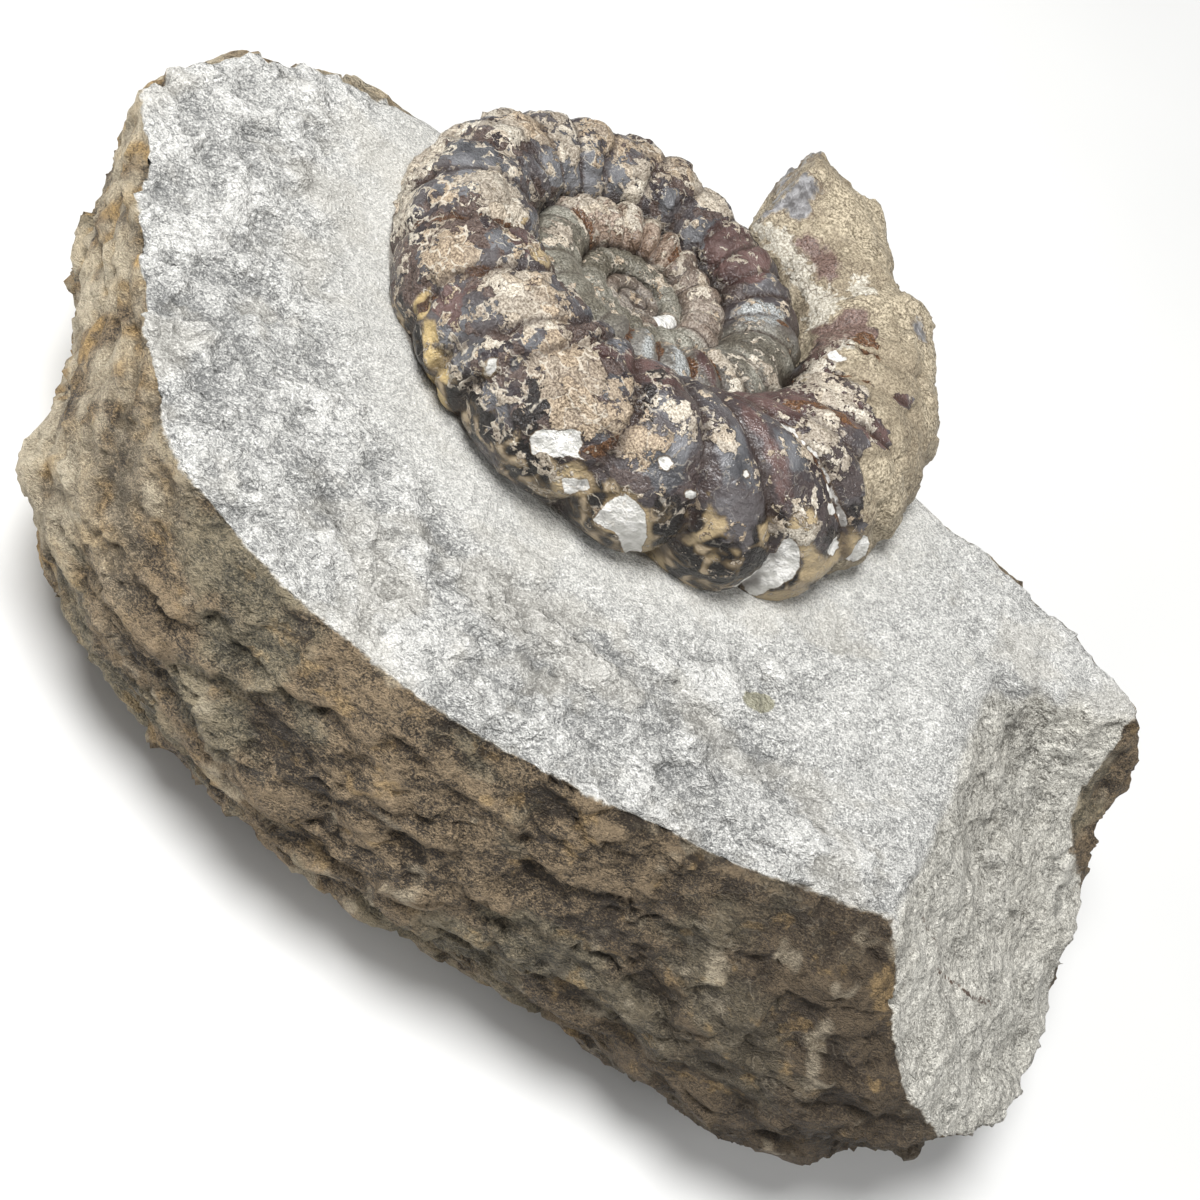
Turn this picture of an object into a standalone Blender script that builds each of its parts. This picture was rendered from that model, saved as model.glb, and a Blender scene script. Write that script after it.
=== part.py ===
"""Fossil ammonite in its stone: a ribbed coiled shell seated in the grey face of a split nodule.

Everything is worked out in the nodule's own frame, in millimetres: the grey face is the plane z = 0,
x runs along the block and y points to its far side. The last step moves both pieces so that the
block stands on its flat, centred on the origin, and scales them to metres.
"""

import math

import bmesh
import bpy
import numpy as np
from mathutils import Matrix, Vector

METRES_PER_MM = 0.001
SHARP_ANGLE = math.radians(50.0)

# Driving dimensions, in millimetres and degrees
FACE_HEIGHT = 40.0
CENTRE_X = 16.095
CENTRE_Y = -11.731
CLEARANCE = 0.35

# The coil: its tilt in the stone, its growth and the oval section of its whorl
COIL_AXIS = Vector((-0.0343, 0.2877, 0.9571))
COIL_START = Vector((0.9836, -0.1597, 0.0833))
APEX_HEIGHT = -1.1
END_RADIUS = 30.2
END_ANGLE = 85.6
WHORL_EXPANSION = 1.862
HALF_HEIGHT = 0.345
HALF_WIDTH = 0.376
TURNS = 2.6

# Round the section, 90 degrees is the top of a whorl and 0 its outer rim; the seams lie between whorls
SEAM_OUTER = 159.0
SEAM_INNER = 40.5
UPPER_COLUMNS = 4
RIM_COLUMNS = 5
LOWER_COLUMNS = 3

# Ribs: height as a share of the whorl's radius, forward lean, and the place that ends at END_ANGLE
RIBS_PER_TURN = 25
STEPS_PER_RIB = 4
STEPS_PER_TURN = RIBS_PER_TURN * STEPS_PER_RIB
RIB_HEIGHT = 0.050
RIB_LEAN = 9.0
END_PLACE = 85.0

# The pocket in the stone: how far it passes the broken end, and how deep it goes under the coil
POCKET_STEPS_BEYOND_END = 1
POCKET_DEPTH = 10.0
POCKET_PLACES = (-110.0, 60.0)
POCKET_COLUMNS = 11

# The block: depth of its belly, shares of the way down its side, of its foot and of its face
BELLY_DEPTH = 20.0
SIDE_LEVELS = (0.12, 0.28, 0.46, 0.64, 0.80, 0.91, 0.975)
FOOT_LEVELS = (0.42, 0.84)
TOP_LEVELS = (0.94, 0.84, 0.72, 0.58, 0.44, 0.30, 0.16)
RIM_STEP = 4.6
FACE_HEART = (24.0, -19.0)
BACK_EDGE_Y = 1.0
BACK_SLOPE = 0.62

# The right end is broken off along a line across the face, as far as the foot of a horn at the far side
FRACTURE_X = 53.0
FRACTURE_LENGTH = 42.0
FRACTURE_SLOPE = 0.66
HORN_CORNER = (55.0, -14.0)
HORN_RISE = 0.60
NEAR_LIMIT_Y = -80.0
CUTTER_TOP = 9.0

# Outline of the block, anticlockwise from its left corner, one row a place:
# rim x, y, then belly x, y, then foot x, y
OUTLINE = (
    (-51.0, -15.0, -50.6, -9.5, -43.0, -10.0),
    (-47.5, -22.0, -50.0, -18.0, -42.0, -17.0),
    (-44.0, -28.2, -47.4, -25.5, -39.0, -23.0),
    (-40.0, -34.5, -43.0, -32.5, -36.0, -29.0),
    (-36.0, -39.6, -40.4, -39.0, -33.0, -35.0),
    (-32.1, -44.0, -38.6, -46.6, -29.0, -41.0),
    (-26.5, -48.2, -33.4, -51.8, -24.0, -46.0),
    (-18.0, -51.2, -22.5, -57.6, -16.0, -50.0),
    (-8.0, -52.6, -9.0, -61.4, -6.0, -52.0),
    (4.6, -53.6, 5.0, -62.8, 6.0, -53.5),
    (17.3, -52.3, 19.0, -62.2, 18.0, -53.5),
    (30.0, -49.8, 33.0, -61.0, 31.0, -52.5),
    (43.0, -46.6, 47.0, -60.6, 43.0, -51.5),
    (53.3, -43.4, 57.5, -60.8, 54.0, -50.0),
    (62.0, -43.5, 65.5, -57.8, 60.0, -47.0),
    (71.5, -42.5, 74.0, -52.2, 66.0, -42.0),
    (78.5, -38.5, 81.4, -44.5, 70.0, -37.0),
    (81.0, -29.5, 84.8, -33.0, 71.5, -30.0),
    (77.5, -20.5, 82.4, -23.5, 71.0, -23.0),
    (72.8, -13.0, 76.4, -13.5, 67.5, -15.0),
    (69.6, -4.5, 73.0, -2.0, 63.0, -6.0),
    (58.0, -0.4, 60.0, 6.0, 54.0, 3.0),
    (45.0, 0.4, 46.0, 8.5, 43.0, 8.0),
    (36.6, 2.0, 36.5, 12.5, 34.0, 12.0),
    (30.0, 11.5, 29.0, 20.5, 26.0, 17.0),
    (19.0, 21.5, 18.5, 26.5, 15.0, 21.0),
    (5.0, 26.0, 4.0, 30.0, 2.0, 23.0),
    (-9.0, 22.0, -10.0, 26.5, -10.0, 20.0),
    (-19.0, 12.0, -21.0, 19.0, -20.0, 14.0),
    (-26.5, 3.2, -29.5, 11.0, -27.0, 8.0),
    (-37.0, -0.2, -40.0, 6.0, -34.0, 3.0),
    (-46.2, -6.6, -49.0, -1.5, -40.0, -3.0),
)

# Soft swellings of the grey face: x, y, radius, height
FACE_SWELLS = (
    (-30.0, -22.0, 15.0, -0.9),
    (-8.0, -42.0, 12.0, -0.8),
    (22.0, -36.0, 14.0, 0.6),
    (33.0, -42.0, 9.0, -1.0),
    (46.0, -12.0, 14.0, 0.5),
    (-40.0, -8.0, 10.0, 0.5),
)

# Lumps of stone left on the body chamber: angle, place round the section, two spreads, height
CHAMBER_LUMPS = (
    (-28.0, -22.0, 14.0, 34.0, 0.085),
    (-6.0, 8.0, 13.0, 36.0, 0.045),
    (18.0, 30.0, 12.0, 30.0, 0.030),
    (40.0, 62.0, 7.0, 26.0, 0.050),
    (54.0, 50.0, 6.0, 26.0, -0.050),
    (70.0, 58.0, 7.0, 30.0, 0.045),
    (82.0, 105.0, 8.0, 30.0, 0.030),
    (90.0, 148.0, 12.0, 26.0, 0.110),
)


def wave(x, y, length, seed):
    """Gentle irregular swell between -1 and 1."""
    across = 2.0 * math.pi * x / length
    along = 2.0 * math.pi * y / length
    first = np.sin(across + 1.7 * seed + 1.3 * np.sin(along / 1.6 + seed))
    second = np.sin(along / 0.83 + 2.9 * seed + 1.1 * np.sin(across / 1.3))
    return 0.5 * (first + second)


def smooth_step(value, low, high):
    share = np.clip((value - low) / (high - low), 0.0, 1.0)
    return share * share * (3.0 - 2.0 * share)


def face_height(x, y):
    """Height of the grey face: its dish and ledges, and the fall behind the coil."""
    height = 0.35 * wave(x, y, 23.0, 1.0) + 0.25 * wave(x, y, 11.0, 2.0)
    for swell_x, swell_y, radius, lift in FACE_SWELLS:
        height += lift * np.exp(-((x - swell_x) ** 2 + (y - swell_y) ** 2) / radius ** 2)
    return height - BACK_SLOPE * np.maximum(y - BACK_EDGE_Y, 0.0)


def fracture_height(x, y):
    """Floor of the broken end: it falls away from its edge, less steeply towards the far side."""
    slope = FRACTURE_SLOPE - 0.22 * smooth_step(y, -30.0, -8.0)
    beyond = x - FRACTURE_X
    hollow = smooth_step(beyond, 2.0, 9.0)
    return -slope * beyond + 0.8 * wave(x, y, 13.0, 3.0) * smooth_step(beyond, 0.0, 8.0) - hollow


def spline(points, share):
    """Catmull-Rom curve between the middle two of four points."""
    a, b, c, d = points
    return 0.5 * (2.0 * b + (c - a) * share + (2.0 * a - 5.0 * b + 4.0 * c - d) * share ** 2
                  + (3.0 * b - a - 3.0 * c + d) * share ** 3)


def outline_samples():
    """Places round the block, denser than the rows of OUTLINE and through each of them."""
    rows = [np.array(row) for row in OUTLINE]
    samples = []
    for k, row in enumerate(rows):
        four = (rows[k - 1], row, rows[(k + 1) % len(rows)], rows[(k + 2) % len(rows)])
        count = max(1, round(float(np.linalg.norm(four[2][:2] - row[:2])) / RIM_STEP))
        samples += [spline(four, step / count) for step in range(count)]
    return np.array(samples)


def side_point(row, share):
    """Place on the side of the block at a share of the way down from the rim to the foot."""
    rim, belly, foot = row[0:2], row[2:4], row[4:6]
    middle = BELLY_DEPTH / FACE_HEIGHT
    top = face_height(rim[0], rim[1])
    place = (rim * (share - middle) * (share - 1.0) / middle
             + belly * share * (1.0 - share) / (middle * (1.0 - middle))
             + foot * share * (share - middle) / (1.0 - middle))
    return np.array((place[0], place[1], top + (-FACE_HEIGHT - top) * share))


def roughen(points, strength):
    """Ledges and lumps on the side, pushed in and out level with the face."""
    centre = np.array(FACE_HEART)
    away = points[:, :2] - centre
    away /= np.linalg.norm(away, axis=1)[:, None]
    along = points[:, 0] + points[:, 1]
    push = 0.9 * wave(along, points[:, 2] * 2.2, 17.0, 4.0) + 0.5 * wave(along, points[:, 2] * 3.0, 8.0, 5.0)
    points[:, :2] += away * (strength * push)[:, None]
    return points


def skin(rings, first_cap, last_cap):
    """Closed mesh over rings of equal length, from a point under the first to a point over the last."""
    count = len(rings[0])
    vertices = [tuple(point) for ring in rings for point in ring]
    faces = []
    for level in range(len(rings) - 1):
        for k in range(count):
            here = level * count
            following = (k + 1) % count
            faces.append((here + k, here + following, here + count + following, here + count + k))
    bottom = len(vertices)
    vertices.append(tuple(first_cap))
    top = len(vertices)
    vertices.append(tuple(last_cap))
    last = (len(rings) - 1) * count
    for k in range(count):
        following = (k + 1) % count
        faces.append((bottom, following, k))
        faces.append((top, last + k, last + following))
    return vertices, faces


def slab(floor, lid):
    """Closed mesh between two grids of points of equal size, the lid above the floor."""
    rows, columns = floor.shape[:2]
    vertices = [tuple(point) for point in np.concatenate((floor, lid)).reshape(-1, 3)]
    over = rows * columns
    faces = []
    for i in range(rows - 1):
        for j in range(columns - 1):
            corners = (i * columns + j, i * columns + j + 1, (i + 1) * columns + j + 1, (i + 1) * columns + j)
            faces.append(corners)
            faces.append(tuple(over + corner for corner in reversed(corners)))
    border = [i * columns for i in range(rows)]
    border += [(rows - 1) * columns + j for j in range(1, columns)]
    border += [i * columns + columns - 1 for i in range(rows - 2, -1, -1)]
    border += [j for j in range(columns - 2, 0, -1)]
    for k, here in enumerate(border):
        following = border[(k + 1) % len(border)]
        faces.append((here, following, over + following, over + here))
    return vertices, faces


def block_mesh():
    """The nodule: flat foot, bulging side, rim, and the grey face with its fractured end."""
    samples = outline_samples()
    foot = np.array([side_point(row, 1.0) for row in samples])
    middle = foot.mean(axis=0)
    rings = [middle + (foot - middle) * share for share in FOOT_LEVELS]
    for share in reversed(SIDE_LEVELS):
        ring = np.array([side_point(row, share) for row in samples])
        rings.append(roughen(ring, math.sin(math.pi * share) ** 0.6))
    rim = samples[:, :2]
    heart = np.array(FACE_HEART)
    for share in (1.0, *TOP_LEVELS):
        ring = heart + (rim - heart) * share
        rings.append(np.column_stack((ring, face_height(ring[:, 0], ring[:, 1]))))
    top = (*heart, float(face_height(*heart)))
    return skin(rings, middle, top)


def fracture_cutter():
    """Slab that breaks the right end away; its underside is the rough face of the break."""
    shares = np.linspace(0.0, 1.0, 14)
    rows = []
    for x in FRACTURE_X + np.linspace(-2.0, FRACTURE_LENGTH, 15):
        horn = HORN_CORNER[1] + HORN_RISE * (x - HORN_CORNER[0]) + 0.5 * math.sin(1.3 * x)
        row = [(x, y, fracture_height(x, y)) for y in NEAR_LIMIT_Y + (horn - NEAR_LIMIT_Y) * shares]
        rows.append(row + [(x, horn + 2.0, CUTTER_TOP - 1.0)])
    floor = np.array(rows)
    lid = floor.copy()
    lid[:, :, 2] = CUTTER_TOP
    return slab(floor, lid)


def centre_radius(angle):
    """Distance of the middle of the whorl from the coil's axis."""
    return END_RADIUS * WHORL_EXPANSION ** ((angle - END_ANGLE) / 360.0)


def sweep(place):
    """How far the ribs have leaned forward at a place round the section, in degrees."""
    return RIB_LEAN * smooth_step(SEAM_OUTER - abs(place), 0.0, SEAM_OUTER)


def rib_height(angle, place):
    """Height of a rib's crest as a share of the whorl's radius: strong on the flank and the outer rim."""
    window = smooth_step(place, -50.0, -5.0) * (1.0 - smooth_step(place, 125.0, 160.0))
    chamber = 1.0 - 0.75 * smooth_step(angle, -15.0, 15.0)
    return RIB_HEIGHT * window * chamber


def lumps(angle, place):
    """Stone left on the body chamber, as a share of the whorl's radius."""
    total = 0.0
    for lump_angle, lump_place, angle_spread, place_spread, height in CHAMBER_LUMPS:
        total += height * np.exp(-((angle - lump_angle) / angle_spread) ** 2
                                 - ((place - lump_place) / place_spread) ** 2)
    return total


def shell_point(angle, place, grown):
    """Point of the shell, in the coil's frame: angle of the coil, place round the section, outward growth."""
    radius = centre_radius(angle)
    growth = grown + radius * lumps(angle, place)
    rho = radius + (radius * HALF_HEIGHT + growth) * math.cos(math.radians(place))
    up = (radius * HALF_WIDTH + growth) * math.sin(math.radians(place))
    turn = math.radians(angle)
    return (rho * math.cos(turn), rho * math.sin(turn), up)


def ribbed_point(step, place, gap):
    """Point at a whole number of steps from the broken end, four steps to a rib, swept with the ribs."""
    turned = step * (360.0 + sweep(SEAM_INNER)) / STEPS_PER_TURN
    angle = END_ANGLE + turned + sweep(place) - sweep(END_PLACE)
    crest = 0.5 + 0.5 * math.cos(2.0 * math.pi * step / STEPS_PER_RIB)
    return shell_point(angle, place, gap + crest * centre_radius(angle) * rib_height(angle, place))


def places(start, end, count):
    return [start + (end - start) * k / count for k in range(count + 1)]


def coil_mesh():
    """The whole coil as one closed skin: inner whorls show between their seams, the last one all round.

    Above and below the coil plane each whorl runs from the seam with the whorl inside it to the seam
    with the whorl outside it, so that neighbouring whorls share their seam points.
    """
    turn = STEPS_PER_TURN
    total = round(TURNS * turn)
    upper = places(SEAM_OUTER, SEAM_INNER, UPPER_COLUMNS)
    around = places(SEAM_INNER, -SEAM_INNER, RIM_COLUMNS)
    lower = places(-SEAM_INNER, -SEAM_OUTER, LOWER_COLUMNS)
    vertices = []
    known = {}

    def vertex(side, i, j):
        """Index of a point; a seam point is named from the outer whorl."""
        columns = len(upper) if side == "upper" else len(lower)
        last = columns - 1
        if side == "upper" and j == last and i + turn <= total:
            return vertex(side, i + turn, 0)
        if side == "lower" and j == 0 and i + turn <= total:
            return vertex(side, i + turn, last)
        if side == "around" and j == 0:
            return vertex("upper", i, len(upper) - 1)
        if side == "around" and j == len(around) - 1:
            return vertex("lower", i, 0)
        key = (side, i, j)
        if key not in known:
            place = {"upper": upper, "around": around, "lower": lower}[side][j]
            known[key] = len(vertices)
            vertices.append(ribbed_point(i - total, place, 0.0))
        return known[key]

    faces = []

    def strip(side, columns, first, end):
        for i in range(first, end):
            for j in range(columns - 1):
                faces.append((vertex(side, i, j), vertex(side, i, j + 1),
                              vertex(side, i + 1, j + 1), vertex(side, i + 1, j)))

    strip("upper", len(upper), 0, total)
    strip("lower", len(lower), 0, total)
    strip("around", len(around), total - turn, total)

    # The broken end of the body chamber, outside the start of the last whorl
    outer = [vertex("upper", total, j) for j in range(len(upper))]
    outer += [vertex("around", total, j) for j in range(1, len(around))]
    outer += [vertex("lower", total, j) for j in range(1, len(lower))]
    inner = [vertex("around", total - turn, j) for j in range(len(around))]
    middle = np.mean([vertices[k] for k in outer + inner], axis=0)
    loop = outer + inner[-2:0:-1]
    hub = len(vertices)
    vertices.append(tuple(middle))
    for k, corner in enumerate(loop):
        faces.append((hub, loop[(k + 1) % len(loop)], corner))

    # The first turn ends in a small cap above and one below
    for side, columns in (("upper", len(upper)), ("lower", len(lower))):
        if side == "upper":
            loop = [vertex(side, i, 0) for i in range(turn)]
            loop += [vertex(side, 0, j) for j in range(columns - 1, 0, -1)]
        else:
            loop = [vertex(side, i, columns - 1) for i in range(turn)]
            loop += [vertex(side, 0, j) for j in range(0, columns - 1)]
        hub = len(vertices)
        vertices.append(tuple(np.mean([vertices[k] for k in loop[:turn]], axis=0)))
        for k, corner in enumerate(loop):
            faces.append((hub, corner, loop[(k + 1) % len(loop)]))
    return vertices, faces


def coil_matrix():
    """From the coil's frame to the nodule's: the coil dips away from the viewer into the stone."""
    axis = COIL_AXIS.normalized()
    start = (COIL_START - axis * COIL_START.dot(axis)).normalized()
    across = axis.cross(start)
    turn = Matrix((start, across, axis)).transposed().to_4x4()
    return Matrix.Translation((0.0, 0.0, APEX_HEIGHT)) @ turn


def add_object(name, vertices, faces, matrix):
    mesh = bpy.data.meshes.new(name)
    mesh.from_pydata([Vector(v) for v in vertices], [], faces)
    mesh.transform(matrix)
    shape = bmesh.new()
    shape.from_mesh(mesh)
    bmesh.ops.triangulate(shape, faces=shape.faces[:])
    bmesh.ops.recalc_face_normals(shape, faces=shape.faces[:])
    shape.to_mesh(mesh)
    shape.free()
    mesh.shade_smooth()
    mesh.set_sharp_from_angle(angle=SHARP_ANGLE)
    piece = bpy.data.objects.new(name, mesh)
    bpy.context.collection.objects.link(piece)
    return piece


def paint(piece, name, colour, roughness):
    material = bpy.data.materials.new(name)
    material.use_nodes = True
    principled = material.node_tree.nodes["Principled BSDF"]
    principled.inputs["Base Color"].default_value = (*colour, 1.0)
    principled.inputs["Roughness"].default_value = roughness
    principled.inputs["Metallic"].default_value = 0.0
    piece.data.materials.append(material)


def pocket_cutter():
    """Form a little larger than the coil's last turn; it reaches past the broken end and under the coil."""
    last = POCKET_STEPS_BEYOND_END
    steps = range(last - STEPS_PER_TURN + 1, last + 1)
    columns = [[ribbed_point(step, place, CLEARANCE) for step in steps]
               for place in places(*POCKET_PLACES, POCKET_COLUMNS)]
    return skin(columns, (0.0, 0.0, -POCKET_DEPTH), (0.0, 0.0, POCKET_DEPTH))


def cut_away(piece, cutter):
    cutter.hide_render = True
    cutter.display_type = "WIRE"
    cut = piece.modifiers.new(cutter.name, "BOOLEAN")
    cut.operation = "DIFFERENCE"
    cut.object = cutter
    cut.solver = "EXACT"


def main():
    for old in list(bpy.data.objects):
        bpy.data.objects.remove(old, do_unlink=True)
    block_to_world = (Matrix.Scale(METRES_PER_MM, 4)
                      @ Matrix.Translation((-CENTRE_X, -CENTRE_Y, FACE_HEIGHT)))
    matrix = add_object("matrix", *block_mesh(), block_to_world)
    paint(matrix, "grey stone", (0.42, 0.41, 0.38), 0.85)
    coil = add_object("ammonite", *coil_mesh(), block_to_world @ coil_matrix())
    paint(coil, "brown shell", (0.13, 0.10, 0.09), 0.35)
    cut_away(matrix, add_object("break", *fracture_cutter(), block_to_world))
    cut_away(matrix, add_object("pocket", *pocket_cutter(), block_to_world @ coil_matrix()))


main()
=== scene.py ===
"""Ammonite fossil in its split stone: fine surfaces and finishes over the solid parts.

The stone is a nodule split open: a pale grey face, a weathered brown side and a broken right end.
The ammonite is a ribbed spiral shell seated in the face, with crusts, mineral patches and a body chamber
filled with tan stone. Lengths in the tables are millimetres in the block's own frame: the grey face is
z = 0, x runs along the block and y to its far side. An angle is in degrees round the coil, and a place in
degrees round the section of its whorl: 0 on the outer rim, 90 on top, 180 on the inner wall.
"""

import math
from functools import partial, reduce

import bpy
import numpy as np
from bpy.props import FloatProperty, FloatVectorProperty, IntProperty, PointerProperty
from mathutils import Matrix, Vector, noise


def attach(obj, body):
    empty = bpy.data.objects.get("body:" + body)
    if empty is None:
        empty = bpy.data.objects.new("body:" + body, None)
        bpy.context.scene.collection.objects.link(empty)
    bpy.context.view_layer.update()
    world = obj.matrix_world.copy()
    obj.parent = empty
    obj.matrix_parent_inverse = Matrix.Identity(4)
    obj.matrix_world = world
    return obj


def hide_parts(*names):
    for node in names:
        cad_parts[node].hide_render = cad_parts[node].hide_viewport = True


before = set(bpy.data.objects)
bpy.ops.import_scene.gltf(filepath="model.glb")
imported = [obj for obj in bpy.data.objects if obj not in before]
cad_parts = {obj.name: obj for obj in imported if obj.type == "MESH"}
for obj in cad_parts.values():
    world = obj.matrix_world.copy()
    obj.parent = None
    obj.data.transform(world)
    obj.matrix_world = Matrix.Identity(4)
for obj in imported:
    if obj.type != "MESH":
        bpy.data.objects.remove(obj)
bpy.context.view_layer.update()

bl_info = {
    "name": "Ammonite in stone",
    "version": (1, 0, 0),
    "blender": (4, 5, 0),
    "location": "View3D > Sidebar > Fossil",
    "description": "Adds a ribbed ammonite in its split stone, with stage, lights and camera",
    "category": "Add Mesh",
}

MM = 0.001

# Numbers that set one layer of noise apart from the next, and that give each cell a value of its own
ROUGH_SEED_STEP = 17.3
CELL_SEED_STEP = 9.1
CELL_MIX = np.array((12.9898, 78.233, 37.719))
CELL_SPREAD = 437.5
FULL_TURN = 6.283

# Where the block's frame stands in the world, and how the coil lies in the block
FACE_HEIGHT = 40.0
CENTRE = (16.095, -11.731)
COIL_AXIS = Vector((-0.0343, 0.2877, 0.9571))
COIL_START = Vector((0.9836, -0.1597, 0.0833))
APEX_HEIGHT = -1.1

# Growth of the coil: radius of the whorl's middle at its broken end, and the oval section of a whorl
END_RADIUS = 30.2
END_ANGLE = 85.6
WHORL_EXPANSION = 1.862
HALF_HEIGHT = 0.345
HALF_WIDTH = 0.376
FIRST_RADIUS = 0.5

# The section of a whorl: places where it starts, where its coarser underside starts, and where it ends;
# then the rows that round off each end of the coil, and those that close its broken end
SECTION_PLACES = (172.0, -66.0, -188.0)
ROUNDED_ROWS = 6
CAP_ROWS = 25
CAP_SHRINK = 0.10

# Length on the shell of a radian of turn and of a radian round the section, as shares of the coil's radius;
# how far round a patch can reach, the depth that stands for outside it, and a number above any distance
TURN_LENGTH = 1.2
SECTION_LENGTH = 0.37
NEAR_TURN = 90.0
OUTSIDE = -3.0
FAR = 1e9

# The block: depth of its belly, heart and back edge of its face, places and slopes of its broken end, a
# height above all of it, the spacing of points round its rim, and its rings
BELLY_DEPTH = 20.0
FACE_HEART = (24.0, -19.0)
BACK_EDGE_Y = 1.0
BACK_SLOPE = 0.62
FRACTURE_X = 53.0
FRACTURE_SLOPE = 0.66
HORN_CORNER = (55.0, -14.0)
HORN_RISE = 0.60
FREE_HEIGHT = 60.0
RIM_STEP = 0.75
FOOT_RINGS = 12
SIDE_RINGS = 56
FACE_RINGS = 70

# How deep the pocket under the coil is, how far below the face its rim counts, and the bend of facets
POCKET_DEPTH = 8.0
RIM_REACH = 32.0
FACET_BEND = 0.9

# Outline of the block, anticlockwise from its left corner: rim x, y, belly x, y, foot x, y
OUTLINE = (
    (-51, -15, -50.6, -9.5, -43, -10), (-47.5, -22, -50, -18, -42, -17),
    (-44, -28.2, -47.4, -25.5, -39, -23), (-40, -34.5, -43, -32.5, -36, -29),
    (-36, -39.6, -40.4, -39, -33, -35), (-32.1, -44, -38.6, -46.6, -29, -41),
    (-26.5, -48.2, -33.4, -51.8, -24, -46), (-18, -51.2, -22.5, -57.6, -16, -50),
    (-8, -52.6, -9, -61.4, -6, -52), (4.6, -53.6, 5, -62.8, 6, -53.5), (17.3, -52.3, 19, -62.2, 18, -53.5),
    (30, -49.8, 33, -61, 31, -52.5), (43, -46.6, 47, -60.6, 43, -51.5),
    (53.3, -43.4, 57.5, -60.8, 54, -50), (62, -43.5, 65.5, -57.8, 60, -47),
    (71.5, -42.5, 74, -52.2, 66, -42), (78.5, -38.5, 81.4, -44.5, 70, -37),
    (81, -29.5, 84.8, -33, 71.5, -30), (77.5, -20.5, 82.4, -23.5, 71, -23),
    (73.4, -13, 78.4, -13.5, 67.5, -15), (70.4, -4.5, 75.4, -3, 63, -6), (58, -0.4, 60, 6, 54, 3),
    (45, 0.4, 46, 8.5, 43, 8), (36.6, 2, 36.5, 12.5, 34, 12), (30, 11.5, 29, 20.5, 26, 17),
    (19, 21.5, 18.5, 26.5, 15, 21), (5, 26, 4, 30, 2, 23), (-9, 22, -10, 26.5, -10, 20),
    (-19, 12, -21, 19, -20, 14), (-26.5, 3.2, -29.5, 11, -27, 8), (-37, -0.2, -40, 6, -34, 3),
    (-46.2, -6.6, -49, -1.5, -40, -3),
)

# Waves of the grey face: height, length, seed; and of the side: the same, and their repeat downwards
FACE_WAVES = ((0.35, 23.0, 1.0), (0.25, 11.0, 2.0))
SIDE_WAVES = ((0.9, 17.0, 4.0, 2.2), (0.5, 8.0, 5.0, 3.0))

# Soft swellings of the grey face: x, y, radius, height
FACE_SWELLS = (
    (-30, -22, 15, -0.9), (-8, -42, 12, -0.8), (22, -36, 14, 0.6), (33, -42, 9, -1), (46, -12, 14, 0.5),
    (-40, -8, 10, 0.5),
)

# Ledges on the face: rise on the left of the line, how far it fades, then the line's points
FACE_LEDGES = (
    (0.55, 5, ((-37.5, -31), (-35.5, -28.7), (-33.3, -27.7), (-30.4, -26.8), (-27.8, -25.4))),
    (-0.35, 4, ((-32.9, -24.3), (-30.4, -23.9), (-28.5, -24.6), (-27.4, -26))),
    (0.6, 6, ((-23, -44.6), (-17.7, -42.3), (-13.7, -39.4), (-8.7, -33.1))),
    (0.55, 4, ((13.8, -45.6), (19, -46.6), (24.7, -46.1), (29, -43.6))),
    (0.75, 5, ((20.6, -41.4), (30, -44), (37.9, -45.3), (45, -43))),
    (0.6, 4, ((27.7, -40.1), (35.4, -40.7), (38.4, -36.6), (42, -34.1))),
    (0.45, 5, ((-42, -17), (-38, -18), (-33, -20.5))),
)

# Scoops knocked out of the edge of the face: x, y, half length along x, half width, depth
FACE_SCOOPS = (
    (-20, -50, 5, 2, 0.6), (-3, -52.5, 6, 2, 0.8), (12, -52.6, 5, 2.4, 1), (21.5, -51, 3.6, 2.2, 0.9),
    (29, -49.4, 4, 2.6, 1.2), (37, -47.6, 5, 2.4, 1), (45.5, -46, 4, 1.8, 0.8), (-41, -31, 2.4, 3, 0.6),
    (-47, -21, 2, 3, 0.6), (56, -12.5, 3.4, 1.6, 1.6), (-33, -42.6, 2.6, 1.8, 0.6),
)

# Darker, bluish patches of the face: x, y, radius, strength
FACE_STAINS = (
    (-33, -35.5, 6, 0.9), (-26, -38.5, 7, 0.9), (-40.5, -17, 5, 0.6), (-36, -26.5, 5.5, 0.7),
    (-31, -21.5, 4, 0.5), (-16, -41.5, 6, 0.7), (-7, -39.5, 5, 0.7), (0, -40, 5, 0.8),
    (8, -42.5, 5.5, 0.9), (15.5, -41.5, 4.5, 0.9), (25.5, -41, 4.5, 0.8), (34.5, -36.5, 3.2, 1.3),
    (38, -37.4, 2.6, 1), (33, -44, 6, 0.4), (44, -36, 4, 0.4), (57, -13.5, 3.6, 1.4),
    (61, -11.5, 3.6, 1.3), (66, -15, 4, 0.9), (58.5, -22, 5.5, 0.8), (56, -30, 4, 0.9), (66, -24, 6, 0.5),
)

# Greenish lens in the face: its middle, the direction of its long axis, half length and half width
LENS_MIDDLE = (31.3, -32.4)
LENS_LONG_WAY = (0.80, 0.60)
LENS_SIZE = (2.3, 1.25)

# Hairline cracks of the broken end: points x, y
CRACKS = (
    ((57.4, -39.4), (59.9, -39.3), (62.6, -39.4)),
    ((62.8, -41.3), (66.5, -39.5), (69.9, -38.7), (73.2, -36.9)),
)

# Tool lines that fan from the coil: depth, half width and points
SCRATCH_SIZE = (0.12, 0.35)
SCRATCHES = (
    ((-23.5, -28.8), (-14.6, -19)), ((-21.2, -31.8), (-14.4, -20.6)), ((-19.8, -34.1), (-11.8, -22.4)),
    ((-16.6, -36.4), (-8.6, -27.6)),
)

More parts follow.
